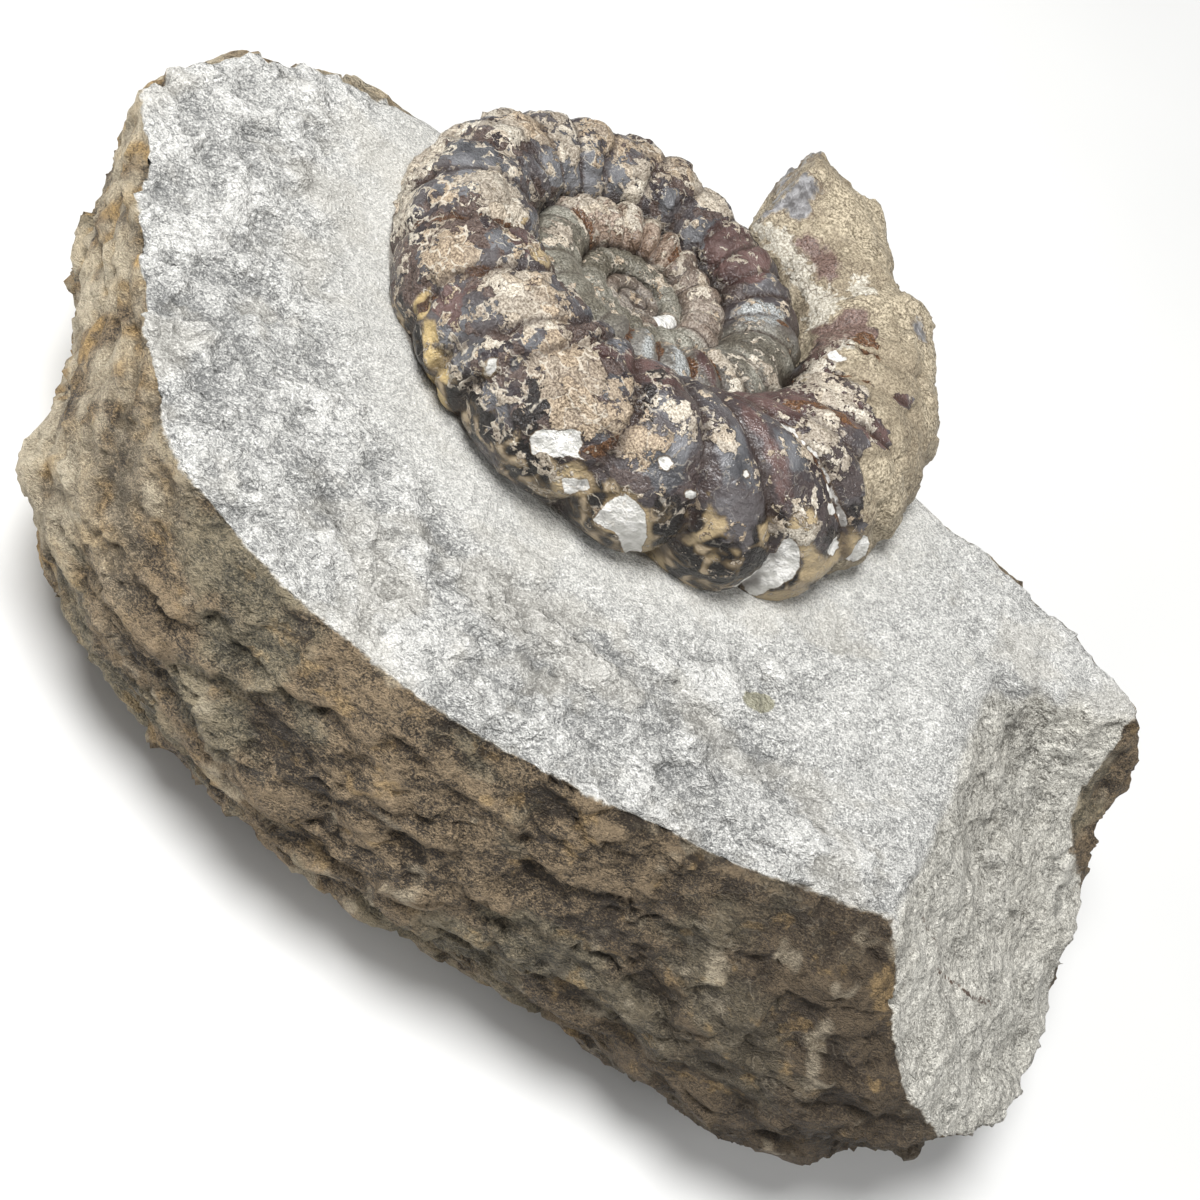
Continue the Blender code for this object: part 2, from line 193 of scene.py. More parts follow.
# Grooves between the ribs of the last whorl: the angle of each at six places round the section
GROOVE_PLACES = (0.0, 30.0, 60.0, 90.0, 120.0, 150.0)
GROOVES = (
    (-277, -277, -276, -275, -274, -274), (-262, -261, -260, -259, -257, -257),
    (-247, -246, -244, -242, -237, -236), (-232, -230, -227, -222, -216, -215),
    (-216, -213, -210, -205, -201, -201), (-199, -196, -193, -190, -187, -187),
    (-185, -182, -179, -177, -175, -176), (-170, -168, -165, -163, -164, -169),
    (-147, -150, -151, -152, -151, -158), (-138.5, -135, -132, -129, -127, -128),
    (-118, -118, -115, -112, -111, -112), (-107, -104, -99, -93, -90, -90),
    (-99.5, -96, -91.5, -86, -82.5, -82), (-72, -71, -71, -74, -76, -77), (-52, -54, -55, -58, -60, -61),
    (-34, -38.5, -42.5, -47, -52, -55), (-18, -22, -26, -32, -39, -44), (-7, -11, -15, -21, -29, -34),
    (3, -1, -5, -10, -14, -20), (14, 12, 10, 8, 8, 6), (26, 24, 22, 20, 20, 20), (40, 38, 36, 34, 33, 33),
    (54, 52, 50, 48, 47, 47), (68, 66, 64, 62, 61, 61), (82, 80, 78, 76, 75, 75), (96, 94, 92, 90, 89, 89),
)

# Grooves of the inner whorls, nearly straight: one angle each, outwards from the third whorl
INNER_GROOVES = (
    -628, -613, -598, -581, -567, -553, -541, -528, -514, -498, -482, -466, -451, -437, -421, -404.5, -391,
    -379, -368, -355, -341, -327, -314, -301, -288,
)
EARLY_GROOVE_STEP = 15.5
EARLY_GROOVES = 74

# How strong the ribs are along the coil: angle, then on the inner wall, on the flank and on the rim
RIB_STRENGTH = (
    (-1700, 0.6, 0.6, 0.6), (-1000, 1, 0.9, 0.6), (-700, 1.1, 1, 0.8), (-640, 1.4, 1.3, 1),
    (-618, 2.2, 2.1, 1.5), (-545, 2.2, 2.1, 1.5), (-534, 0.6, 0.5, 0.4), (-455, 0.5, 0.4, 0.3),
    (-442, 1.2, 1.2, 0.8), (-383, 1.2, 1.2, 0.8), (-372, 0.7, 0.5, 0.4), (-340, 0.7, 0.5, 0.4),
    (-300, 1, 0.6, 0.4), (-262, 1.3, 0.62, 0.5), (-215, 1.1, 0.45, 0.4), (-160, 0.9, 0.35, 0.3),
    (-125, 0.8, 0.4, 0.5), (-100, 0.8, 0.6, 0.9), (-40, 0.8, 0.8, 1), (-12, 0.8, 0.75, 0.8),
    (12, 0.6, 0.45, 0.5), (34, 0.4, 0.28, 0.3), (90, 0.3, 0.22, 0.2),
)
RIB_HEIGHT = 0.075

# Lumps on the body chamber: angle, place, two spreads, height as a share of the whorl's radius
CHAMBER_LUMPS = (
    (-28, -22, 14, 34, 0.085), (-6, 8, 13, 36, 0.045), (18, 30, 12, 30, 0.03), (40, 62, 7, 26, 0.05),
    (54, 50, 6, 26, -0.05), (70, 58, 7, 30, 0.045), (82, 105, 8, 30, 0.03), (90, 148, 12, 26, 0.11),
)

# Small knobs and pits of the shell: angle, place, radius in mm, height in mm
KNOBS = (
    (-60.5, 78, 1.7, 0.75), (-65.5, 92, 1.2, 0.4), (-31, 27, 2, 0.8), (-46.5, 52, 0.85, -0.45),
    (-62.6, 36, 0.95, -0.4), (-55, 28, 0.9, 0.35), (-98.5, 18, 1.1, 0.5), (-117, 3, 1.5, 0.55),
    (-112.5, -9, 1.1, 0.4), (-108, -21, 1.4, 0.55), (-73, -7, 1.5, 0.6), (-18, 4, 1.1, 0.45),
    (18, 132, 2.6, 0.8), (-197, 118, 1, 0.45), (-233, 112, 1.8, 0.6), (-250, 70, 2.2, 0.5),
    (-236, 62, 2, 0.5), (-118, 40, 1.8, 0.35), (-52, 5, 1.5, 0.3), (-44, -6, 1.6, 0.35),
)

# Layers of relief: kind, length of its lumps in mm, seed, height in mm, and octaves of the rough ones
SIDE_RELIEF = (
    ("facets", (12.0, 12.0, 5.0), 1.0, 0.75), ("facets", (5.0, 5.0, 2.4), 2.0, 0.55),
    ("chips", (6.0, 6.0, 2.6), 2.5, 0.34), ("facets", (2.6, 2.6, 1.9), 2.7, 0.24),
    ("rough", (8.0, 8.0, 4.0), 3.0, 0.28, 4), ("rough", (1.8, 1.8, 1.1), 4.0, 0.16, 3),
)
FACE_GRAIN = (("rough", 5.0, 6.0, 0.16, 3), ("rough", 1.5, 7.0, 0.10, 3))
FACE_DENTS = (
    ("facets", (5.6, 3.8, 4.6), 7.5, 0.80), ("facets", 2.2, 7.7, 0.48),
    ("rough", 2.4, 7.9, 0.20, 3), ("chips", (4.2, 2.6, 4.2), 7.3, 0.42),
)
BREAK_GRAIN = (
    ("rough", 6.0, 8.0, 0.40, 4), ("facets", (4.4, 4.4, 3.0), 9.0, 0.50),
    ("facets", 2.1, 9.5, 0.14), ("rough", 1.4, 10.0, 0.10, 3),
)
CRUST_RELIEF = (("rough", 1.1, 2.0, 0.16, 3), ("chips", 1.6, 3.0, 0.16))
FILLING_RELIEF = (("rough", 3.6, 4.0, 0.48, 4), ("chips", 2.4, 5.0, 0.22))
CRUMPLE = (("chips", 2.4, 6.0, 0.30), ("rough", 3.0, 9.0, 0.34, 4), ("facets", 1.9, 10.0, 0.22))
SHELL_GRAIN = (("rough", 1.6, 7.0, 0.08, 3),)
INNER_GRAIN = (("rough", 1.4, 8.0, 0.10, 3),)

# How high crust stands, how deep the filling of the chamber and the calcite of the rim lie, in mm
CRUST_HEIGHT = 0.22
FILLING_DEPTH = 0.30
CALCITE_DEPTH = 0.30

# How far the edges of the patches wander, in mm: fine and broad, for each kind
LOOSE_EDGES = {"cream": (0.9, 1.5), "crust": (0.9, 1.5), "slate": (0.6, 0.7), "black": (0.8, 0.8),
               "white": (0.25, 0.3)}
USUAL_EDGES = (0.5, 0.4)

# Where the shell ends and the filling of the chamber starts: place and angle
CHAMBER_EDGE = ((-60, -18), (10, -16), (40, -19), (60, -16), (90, -3), (120, 8), (150, 20))

# Shares of three looks along the coil, as angle and share: brown knobs, greenish grey, flaking shell
KNOBBED = (
    (-1090, 0.35), (-1060, 0), (-735, 0), (-722, 0.55), (-655, 0.6), (-640, 0.3), (-628, 1), (-545, 1),
    (-538, 0),
)
MOSSY = (
    (-1090, 0.4), (-1060, 1), (-735, 1), (-722, 0.2), (-640, 0.3), (-620, 0), (-546, 0), (-534, 1),
    (-455, 1), (-440, 0.45), (-385, 0.45), (-372, 0.9), (-340, 0.8), (-330, 0),
)
FLAKING = (
    (-560, 0.6), (-520, 0.15), (-330, 0.25), (-300, 0.6), (-250, 0.8), (-205, 0.7), (-160, 0.85),
    (-120, 1), (-80, 0.75), (-64, 0.45), (-45, 0.1), (-30, 0.25), (0, 0.4),
)

# Oval patches of the shell, by kind: angle, place, half spread in angle and in place, and any lean
PATCHES = {
    "slate": (
        (-267, 134, 6, 15), (-248, 128, 5.5, 14), (-222, 128, 6, 18), (-206.5, 132, 6, 20),
        (-194, 132, 5.5, 20), (-180, 128, 6, 22), (-157.5, 64, 7, 28), (-145, 70, 7, 18),
        (-120, 78, 4.5, 12), (-8, 78, 3.5, 12), (-428, 92, 4.5, 50), (-412, 88, 6, 48), (-327, 110, 9, 36),
        (-276, 120, 5, 26),
    ),
    "plum": (
        (-29, 126, 22, 36), (-13, 112, 9, 30), (-9, 82, 4.5, 24, -0.15), (-41, 74, 3, 44, -0.14),
        (12, 140, 16, 13), (27, 126, 4, 22), (9, 78, 2.6, 12, -0.1), (-122, 96, 7, 14),
        (-290, 110, 18, 45), (-70, 96, 9, 18), (-84, 84, 4.5, 12), (-398, 88, 4, 50),
    ),
    "black": (
        (-98, -10, 7, 16), (-57, 12, 8, 14), (-47, -20, 9, 26), (-74, -30, 8, 16), (-38, 22, 4.5, 12),
        (-24, 14, 4, 14), (-18, 34, 4.5, 10), (-24, -28, 4, 12), (-70, 74, 3.6, 26),
    ),
    "cream": (
        (-200, 74, 6, 16), (-176, 66, 6, 18), (-192, 30, 9, 14), (-262, 82, 6, 10), (-140, 88, 7, 16),
        (-232, 126, 4, 14), (-196, 112, 3, 9), (-165, 22, 10, 20), (-150, 4, 10, 18), (-8, 108, 2.4, 20),
        (13, 122, 3.4, 16), (20, 130, 3.2, 11), (-383, 104, 5, 38), (-364, 66, 4, 16), (-347, 128, 3, 14),
        (-590, 84, 30, 10),
    ),
    "crust": (
        (-186, 80, 5, 20), (-240, 88, 8, 10), (-222, 84, 7, 9), (-104, 84, 6, 8), (-122, 40, 6, 10),
    ),
    "pale": (
        (22, 132, 7, 14), (46, 112, 4, 12),
    ),
    "rim": (
        (-56, -16, 44, 34), (-108, -26, 24, 26), (-150, -34, 34, 18),
    ),
    "amber": (
        (-133, 104, 3, 12), (-116, 107, 4.5, 13), (-105, -36, 5, 10), (-19, 0, 5, 22), (-26, -30, 6, 20),
        (-52, -44, 5, 14),
    ),
    "rust": (
        (-331, 86, 2, 9), (24, 114, 2.2, 10), (-437, 95, 1.5, 50), (-421, 95, 1.4, 55),
        (-404.5, 95, 1.5, 55), (-391, 95, 1.1, 50), (-628, 100, 1.4, 50), (-541, 100, 1.4, 50),
    ),
    "white": (
        (-1093, 90, 20, 80),
    ),
}

# Patches with a shape of their own, by kind: corners as angle and place on the whorl
OUTLINED = {
    "white": (
        ((-84.7, 6), (-83.8, 14), (-81, 21), (-79.4, 27), (-77.1, 30), (-77.3, 25), (-76.2, 23),
         (-76.7, 16), (-72.2, 16), (-75, 14), (-77.5, 11), (-79.7, 5), (-81.4, 6), (-82.5, -1)),
        ((-76.5, -7), (-74.8, 1), (-71.8, 2), (-70.8, 0), (-72, -12), (-73.9, -15)),
        ((-67, -21), (-67.5, -8), (-67.1, 5), (-66, 12), (-63.6, 14), (-61.1, 7), (-58.8, -3), (-54, -38),
         (-51.5, -50), (-55.5, -48), (-58, -32), (-62.8, -16), (-65.3, -17)),
        ((-98.8, 16), (-99.5, 25), (-98.2, 28), (-97, 21), (-97.3, 13)),
        ((-64, 40), (-62.5, 43), (-61, 41), (-61.4, 34), (-63, 35)),
        ((-56.7, 28), (-55.7, 30), (-54.3, 28), (-54.7, 25), (-56, 25)),
        ((-47.8, 52), (-45.7, 54), (-45.2, 50), (-46.3, 47), (-47.5, 48)),
        ((-34.8, 18), (-33.7, 19), (-31.5, 12), (-29.8, 4), (-29.6, -5), (-31.8, -17), (-31.1, -32),
         (-38.7, -19), (-38.5, -10), (-36.8, -1), (-34.4, 5), (-34.9, 13)),
        ((-24.8, 15), (-23.3, 19), (-21, 13), (-20.4, 8), (-22.6, 7), (-24.4, 10)),
        ((-27.4, 41), (-24.7, 39), (-23.8, 33), (-25.7, 32), (-27.6, 35)),
        ((-26.9, 53), (-25.7, 50), (-23.5, 43), (-25.4, 41), (-26.8, 47)),
        ((-16.8, 16), (-14.3, 15), (-13.2, 3), (-14.3, -3), (-17.5, 3)),
        ((-36.7, 91), (-35.3, 91), (-30.9, 90), (-33.7, 85), (-35.8, 88)),
        ((14.6, 135), (15.4, 130), (13, 123), (11.1, 127), (11.5, 133)),
        ((48.2, 125), (49.1, 122), (46.2, 121), (46.9, 123)),
        ((44.3, 113), (44.3, 109), (41.8, 110), (41.9, 113)),
    ),
    "rust": (
        ((-76.5, 16), (-76, 25), (-74.2, 32), (-72.1, 39), (-70.9, 33), (-71.4, 23), (-72.2, 17),
         (-74.3, 16)),
        ((-25.2, 119), (-19.5, 112), (-15.3, 103), (-14.1, 94), (-12.5, 81), (-14.4, 82), (-17.1, 96),
         (-20.4, 108), (-29.5, 107)),
    ),
    "amber": (
        ((-79, -1), (-76.7, 12), (-72.3, 13), (-70, 6), (-69.9, -5), (-71.7, -29), (-75.7, -21),
         (-78.2, -10)),
        ((-67, -24), (-68.1, -13), (-68.1, 3), (-66.9, 15), (-64, 18), (-60.6, 12), (-57, -3),
         (-50.5, -30), (-48, -50), (-57, -50), (-61.1, -19)),
        ((-119.2, -9), (-121, 4), (-120.1, 15), (-117.9, 14), (-116, 7), (-115.7, -2)),
        ((-114.4, -10), (-115.1, -1), (-113.3, 7), (-110.7, 8), (-109.6, 2), (-110.7, -6), (-112.9, -11)),
        ((-111.8, -16), (-110.4, -7), (-107.1, -5), (-103, -7), (-102.6, -15), (-105.7, -21),
         (-108.6, -19)),
        ((-99.3, 6), (-99.8, 19), (-99.5, 26), (-97.6, 30), (-96.3, 22), (-96.6, 10), (-97.5, 2)),
        ((-55.1, 15), (-54.2, 19), (-52.6, 16), (-52.2, 10), (-53.3, 8)),
        ((-51.2, 16), (-52.2, 33), (-50.2, 26), (-50, 19)),
        ((-52.4, -9), (-51.2, 4), (-50.3, 16), (-47.8, 26), (-46.3, 18), (-48.2, 10), (-49.9, 0),
         (-50.8, -11)),
        ((-46.2, 6), (-45, 11), (-42.5, 10), (-41.6, 5), (-43.6, 1)),
        ((-47.3, -4), (-46.9, 2), (-45.2, 3), (-44.6, -3), (-46.2, -6)),
        ((-42, 3), (-40.2, 6), (-38.3, 2), (-39.5, -1)),
        ((-43.2, -10), (-42.6, -6), (-40.6, -8), (-40.5, -13)),
        ((-41.6, 23), (-39.1, 26), (-36.8, 26), (-35.7, 16), (-38, 12), (-40.4, 17)),
        ((-35.7, 23), (-35.4, 34), (-33.2, 40), (-30.2, 38), (-29.9, 30), (-31.6, 22), (-33.7, 19)),
        ((-33.9, 19), (-30.9, 22), (-24.3, 10), (-20.5, 0), (-21, -7), (-25.3, -8), (-29.3, -8),
         (-29.8, 4)),
    ),
    "plum": (
        ((-116, 9), (-117.7, 17), (-117.6, 28), (-114.5, 38), (-112, 48), (-111.8, 38), (-111.1, 28),
         (-109.4, 24), (-108.9, 17), (-111.3, 15), (-113.6, 12)),
        ((-33.7, 38), (-33, 38), (-32.8, 27), (-33.2, 27)),
        ((-31.7, 109), (-21.6, 107), (-27.1, 92), (-28.8, 85), (-31.2, 92), (-32.9, 101)),
        ((-28.1, 86), (-23.8, 85), (-22.8, 77), (-24.2, 71), (-27, 78)),
        ((68.6, 139), (68.1, 130), (64.7, 127), (62.3, 127), (60.1, 121), (55.1, 123), (50.1, 123),
         (49.3, 132), (52.3, 140), (55.7, 139), (57.3, 134), (62.3, 136), (64.8, 140)),
        ((35.6, 138), (38.3, 128), (38, 120), (38.9, 113), (36.7, 112), (30.6, 114), (29.4, 125),
         (25.1, 130), (26.7, 141), (35.8, 151)),
    ),
    "black": (
        ((-93.4, 27), (-91.9, 39), (-89.2, 40), (-86.3, 36), (-83.4, 35), (-83.3, 29), (-81.1, 31),
         (-84.4, 20), (-85.4, 11), (-88.4, 7), (-90.3, 4), (-89.7, 20)),
        ((-89.1, -3), (-86.5, 6), (-84.3, 3), (-84, -6), (-87.4, -7)),
    ),
    "cream": (
        ((-113.6, 50), (-113.7, 65), (-110.3, 86), (-105.8, 75), (-104.2, 65), (-101.3, 65), (-98.2, 74),
         (-95.1, 68), (-97.5, 57), (-102.1, 45), (-104.7, 50), (-105.9, 62), (-109, 53)),
        ((-66.2, 74), (-62.9, 80), (-60, 77), (-58.5, 71), (-61.7, 65), (-64, 67)),
        ((-56.4, 75), (-54.4, 76), (-53.1, 72), (-54, 67), (-55.3, 69)),
        ((-35.5, 27), (-34.2, 36), (-31.8, 38), (-31.1, 32), (-31.9, 27), (-33.2, 22), (-34.7, 23)),
        ((-31.1, 87), (-28.3, 84), (-24.3, 70), (-20.3, 65), (-21.8, 56), (-24.4, 58), (-29.5, 67)),
        ((-22.3, 105), (-17.8, 98), (-16.8, 81), (-19.2, 67), (-22.7, 70), (-22.8, 77), (-23.8, 85),
         (-27.1, 92)),
        ((-0.6, 140), (10.3, 142), (4.6, 124), (2.9, 112), (2.2, 98), (8, 79), (3.5, 85), (-1.4, 100),
         (-6.7, 110), (-6.6, 127)),
    ),
    "crust": (
        ((-93.8, 43), (-93.6, 56), (-92.1, 72), (-88.5, 73), (-84.7, 70), (-81.1, 71), (-79.2, 63),
         (-79.9, 55), (-77.9, 54), (-75.2, 64), (-71.8, 64), (-70.7, 54), (-72.4, 42), (-76.8, 32),
         (-79.7, 26), (-81.4, 32), (-84.6, 41), (-87.1, 39), (-90.2, 44)),
        ((-70.9, 43), (-69.2, 54), (-66.4, 54), (-64.1, 52), (-65.1, 44), (-67.1, 36), (-68.7, 30),
         (-70.6, 34)),
    ),
    "slate": (
        ((-80, 71), (-76.3, 75), (-74.1, 68), (-76, 55), (-77.6, 50), (-80.4, 44), (-79.4, 56)),
        ((-94.8, 23), (-97.5, 33), (-97.3, 46), (-95.4, 58), (-93.9, 56), (-94, 44), (-93.7, 33)),
        ((-109.9, 8), (-105.2, 25), (-101.4, 30), (-99.8, 25), (-100.6, 16), (-103.6, 2), (-107.5, -2)),
        ((-65.1, 44), (-63.5, 55), (-59.5, 66), (-57.2, 47), (-57.3, 36), (-59.2, 21), (-62.4, 18),
         (-66.2, 23), (-66.8, 35)),
        ((-41.1, 87), (-35.9, 90), (-33.5, 84), (-31.3, 71), (-29.9, 59), (-33.8, 52), (-37.3, 57),
         (-40.4, 70)),
        ((-53.2, 68), (-48.6, 80), (-45.6, 76), (-45.1, 60), (-41.7, 47), (-44.3, 36), (-48.3, 37),
         (-51.5, 36), (-53.1, 50)),
        ((-7.8, 86), (-5.1, 82), (-6.2, 74), (-11.5, 71), (-12.3, 75)),
        ((88.6, -7), (88.4, 14), (87.8, 29), (81.3, 109), (76.6, 103), (72.9, 114), (67.9, 119), (71, 126),
         (71.9, 132), (75.4, 136), (77.6, 141), (79.7, 149)),
        ((35.8, 81), (38.6, 74), (37.7, 65), (33.6, 65), (33.1, 72)),
    ),
    "pale": (
        ((79.7, 152), (75.6, 143), (72.6, 136), (67.7, 140), (63.8, 141), (58.5, 136), (52.5, 141),
         (48.9, 132), (46.2, 121), (40.3, 128), (35.6, 138), (36.9, 152), (50.5, 152)),
    ),
}

# Thin edges of broken shell along a groove, by kind: groove, shift in angle, place from and to
LINE_HALF_WIDTH = 0.22
RIB_LINES = {
    "white": (
        (16, 0, 96, 26), (15, -1, 96, 78),
    ),
    "rust": (
        (16, -1.2, 110, 30), (18, -1, 150, 60), (19, 0, 150, 66), (20, 0, 140, 108), (9, 0, 130, 10),
        (10, 0, 110, 10),
    ),
}

# Tints of the stone, and two tones, dark and light, of its minerals
STONE_TINTS = {
    "chalk": (0.54, 0.50, 0.42),
    # painted contact shade where the face meets the coil
    "contact shade": (0.13, 0.10, 0.07),
    "crack": (0.085, 0.045, 0.025),
    "dark end": (0.040, 0.027, 0.016),
    # painted highlight on the lips of the rind's ledges
    "lip": (0.42, 0.365, 0.275),
    "rind edge": (0.60, 0.555, 0.47),
    "ochre": (0.125, 0.078, 0.032),
}
STONE_TONES = {
    "lens": ((0.24, 0.23, 0.16), (0.50, 0.48, 0.36)),
    "break": ((0.14, 0.13, 0.105), (0.84, 0.81, 0.72)),
    "olive": ((0.042, 0.038, 0.023), (0.30, 0.275, 0.19)),
    "skin": ((0.23, 0.185, 0.120), (0.62, 0.54, 0.40)),
}

# Two tones, dark and light, of the fossil's finishes, its tints, and the roughness of each finish
SHELL_TONES = {
    "smoke": ((0.085, 0.086, 0.093), (0.27, 0.274, 0.29)),
    "mauve": ((0.050, 0.031, 0.025), (0.165, 0.120, 0.100)),
    "moss, dark": ((0.046, 0.040, 0.028), (0.19, 0.172, 0.130)),
    "moss, light": ((0.15, 0.143, 0.112), (0.50, 0.485, 0.415)),
    "knob, dark": ((0.072, 0.042, 0.026), (0.25, 0.165, 0.115)),
    "knob, light": ((0.20, 0.140, 0.100), (0.64, 0.54, 0.44)),
    "slate": ((0.058, 0.058, 0.063), (0.205, 0.206, 0.216)),
    "inner slate": ((0.14, 0.145, 0.14), (0.50, 0.515, 0.505)),
    "plum": ((0.040, 0.021, 0.019), (0.150, 0.093, 0.084)),
    "black": ((0.006, 0.005, 0.005), (0.032, 0.025, 0.022)),
    "caramel": ((0.100, 0.070, 0.036), (0.40, 0.315, 0.205)),
    "amber": ((0.105, 0.070, 0.030), (0.42, 0.325, 0.19)),
    "cream": ((0.31, 0.265, 0.20), (0.80, 0.745, 0.64)),
    "tan": ((0.15, 0.107, 0.070), (0.57, 0.455, 0.325)),
    "brown crust": ((0.10, 0.070, 0.048), (0.34, 0.27, 0.20)),
    "brown filling": ((0.14, 0.108, 0.068), (0.43, 0.36, 0.255)),
    "pale filling": ((0.31, 0.275, 0.21), (0.72, 0.68, 0.585)),
    "slate scrap": ((0.12, 0.115, 0.115), (0.34, 0.335, 0.34)),
    "plum scrap": ((0.075, 0.044, 0.034), (0.27, 0.185, 0.155)),
    "rust": ((0.040, 0.019, 0.011), (0.19, 0.095, 0.045)),
    "white": ((0.58, 0.57, 0.53), (0.90, 0.885, 0.85)),
}
SHELL_TINTS = {
    "rim": (0.011, 0.009, 0.008),
    "gold": (0.56, 0.42, 0.20),
    "crust crack": (0.060, 0.040, 0.028),
    "crust outline": (0.020, 0.013, 0.011),
    "filling score": (0.085, 0.058, 0.036),
    "filling edge": (0.05, 0.03, 0.025),
    "scrap edge": (0.085, 0.050, 0.030),
    "white edge": (0.13, 0.085, 0.040),
    # pale rims of curled flakes, with painted highlight
    "flake rim highlight": (0.66, 0.60, 0.50),
    # painted shade in the rib grooves
    "groove_shade": (0.034, 0.020, 0.015),
    # painted shade in the crease where one whorl meets the next
    "crease_shade": (0.026, 0.019, 0.014),
}
GLOSS = {
    "smoke": 0.26, "mauve": 0.24, "inner": 0.40, "slate": 0.21, "plum": 0.16, "black": 0.13, "rim": 0.17,
    "amber": 0.17, "crust": 0.48, "filling": 0.66, "slate scrap": 0.34, "plum scrap": 0.32, "rust": 0.20,
    "white": 0.42,
}

PATCH_KINDS = ("slate", "plum", "cream", "crust", "black", "amber", "rust", "white", "rim", "pale")


def smooth_step(value, low, high):
    share = np.clip((value - low) / (high - low), 0.0, 1.0)
    return share * share * (3.0 - 2.0 * share)


def wave(x, y, length, seed):
    """Gentle irregular swell between -1 and 1."""
    across = 2.0 * math.pi * x / length
    along = 2.0 * math.pi * y / length
    first = np.sin(across + 1.7 * seed + 1.3 * np.sin(along / 1.6 + seed))
    second = np.sin(along / 0.83 + 2.9 * seed + 1.1 * np.sin(across / 1.3))
    return 0.5 * (first + second)


def rough(points, size, seed, octaves):
    """Fractal noise at each point, about -1 to 1; size is one length, or three for stretched lumps."""
    scaled = points / np.array(size) + ROUGH_SEED_STEP * seed
    return np.array([noise.fractal(p, 1.0, 2.1, octaves) for p in scaled])


def nearest_cell(points, size, seed):
    """The points scaled to cells of a size, and the middle of the cell that each lies in."""
    scaled = points / np.array(size) + CELL_SEED_STEP * seed
    return scaled, np.array([noise.voronoi(p)[1][0] for p in scaled])


def facets(points, size, seed):
    """Small tilted faces with sharp breaks between them, about -0.5 to 0.5."""
    scaled, nearest = nearest_cell(points, size, seed)
    turn = FULL_TURN * np.modf(np.sin(nearest @ CELL_MIX) * CELL_SPREAD)[0]
    off = scaled - nearest
    return off[:, 0] * np.cos(turn) + off[:, 1] * np.sin(turn) + off[:, 2] * np.sin(2.0 * turn)


def chips(points, size, seed):
    """A constant height for each chip, between -1 and 1."""
    return np.sin(nearest_cell(points, size, seed)[1] @ CELL_MIX)


def relief(layers, points, bent=None):
    """Sum of layers of relief; facets and chips follow the bent points, where they are given."""
    total = np.zeros(len(points))
    for kind, size, seed, height, *octaves in layers:
        at = points if bent is None or kind == "rough" else bent
        total += height * NOISES[kind](at, size, seed, *octaves)
    return total


NOISES = {"rough": rough, "facets": facets, "chips": chips}


def from_table(table, at):
    """Value between the rows of a table of pairs."""
    return np.interp(at, *zip(*table))


def bell(distance, spread):
    return np.exp(-(distance / spread) ** 2)


# Places in the block

def face_height(x, y):
    """Height of the grey face: its waves and swellings, and the fall behind the coil."""
    height = sum(lift * wave(x, y, length, seed) for lift, length, seed in FACE_WAVES)
    for swell_x, swell_y, radius, lift in FACE_SWELLS:
        height = height + lift * bell(np.hypot(x - swell_x, y - swell_y), radius)
    return height - BACK_SLOPE * np.maximum(y - BACK_EDGE_Y, 0.0)


def break_height(x, y):
    """Height of the broken right end, and far above the block where it is whole."""
    slope = FRACTURE_SLOPE - 0.22 * smooth_step(y, -30.0, -8.0)
    beyond = x - FRACTURE_X
    hollow = smooth_step(beyond, 2.0, 9.0)
    floor = -slope * beyond + 0.8 * wave(x, y, 13.0, 3.0) * smooth_step(beyond, 0.0, 8.0) - hollow
    horn = HORN_CORNER[1] + HORN_RISE * (x - HORN_CORNER[0]) + 0.5 * np.sin(1.3 * x)
    gentle = smooth_step(x, 59.0, 69.0)
    wall = smooth_step(y, horn - 0.4 - 9.0 * gentle, horn + 1.8)
    floor = floor + (face_height(x, y) - floor) * wall
    return np.where((x < FRACTURE_X - 2.0) | (y > horn + 1.8), FREE_HEIGHT, floor)


def block_to_world():
    return Matrix.Scale(MM, 4) @ Matrix.Translation((-CENTRE[0], -CENTRE[1], FACE_HEIGHT))


def in_block(points):
    """World points in metres to the block's frame in millimetres."""
    return points / MM + np.array((CENTRE[0], CENTRE[1], -FACE_HEIGHT))


def coil_axes():
    axis = COIL_AXIS.normalized()
    start = (COIL_START - axis * COIL_START.dot(axis)).normalized()
    return np.array((start, axis.cross(start), axis))


def in_coil(points):
    """Points of the block's frame to the coil's: distance from the axis, angle, height."""
    turned = (points - np.array((0.0, 0.0, APEX_HEIGHT))) @ coil_axes().T
    angle = np.degrees(np.arctan2(turned[:, 1], turned[:, 0]))
    return np.hypot(turned[:, 0], turned[:, 1]), angle, turned[:, 2]


def centre_radius(angle):
    return END_RADIUS * WHORL_EXPANSION ** ((angle - END_ANGLE) / 360.0)


def outside_shell(points):
    """How far a point of the block lies outside the last whorl, in millimetres; deep inside is negative."""
    away, angle, height = in_coil(points)
    radius = centre_radius(np.where(angle > END_ANGLE, angle - 360.0, angle))
    reach = np.hypot((away - radius) / (HALF_HEIGHT * radius), height / (HALF_WIDTH * radius))
    gap = (reach - 1.0) * HALF_HEIGHT * radius
    return np.where((away < radius) & (gap > -2.0), -6.0, gap)


def line_distance(x, y, line):
    """Signed distance to a line of points, positive on its left, and the share of the way along it."""
    best = np.full(len(x), FAR)
    signed = np.zeros(len(x))
    share = np.zeros(len(x))
    count = len(line) - 1
    for k in range(count):
        a, b = np.array(line[k]), np.array(line[k + 1])
        d = b - a
        length = math.hypot(*d)
        t = np.clip(((x - a[0]) * d[0] + (y - a[1]) * d[1]) / length ** 2, 0.0, 1.0)
        px, py = x - a[0] - t * d[0], y - a[1] - t * d[1]
        distance = np.hypot(px, py)
        closer = distance < best
        best = np.where(closer, distance, best)
        signed = np.where(closer, distance * np.sign(d[0] * py - d[1] * px + 1e-9), signed)
        share = np.where(closer, (k + t) / count, share)
    return signed, share


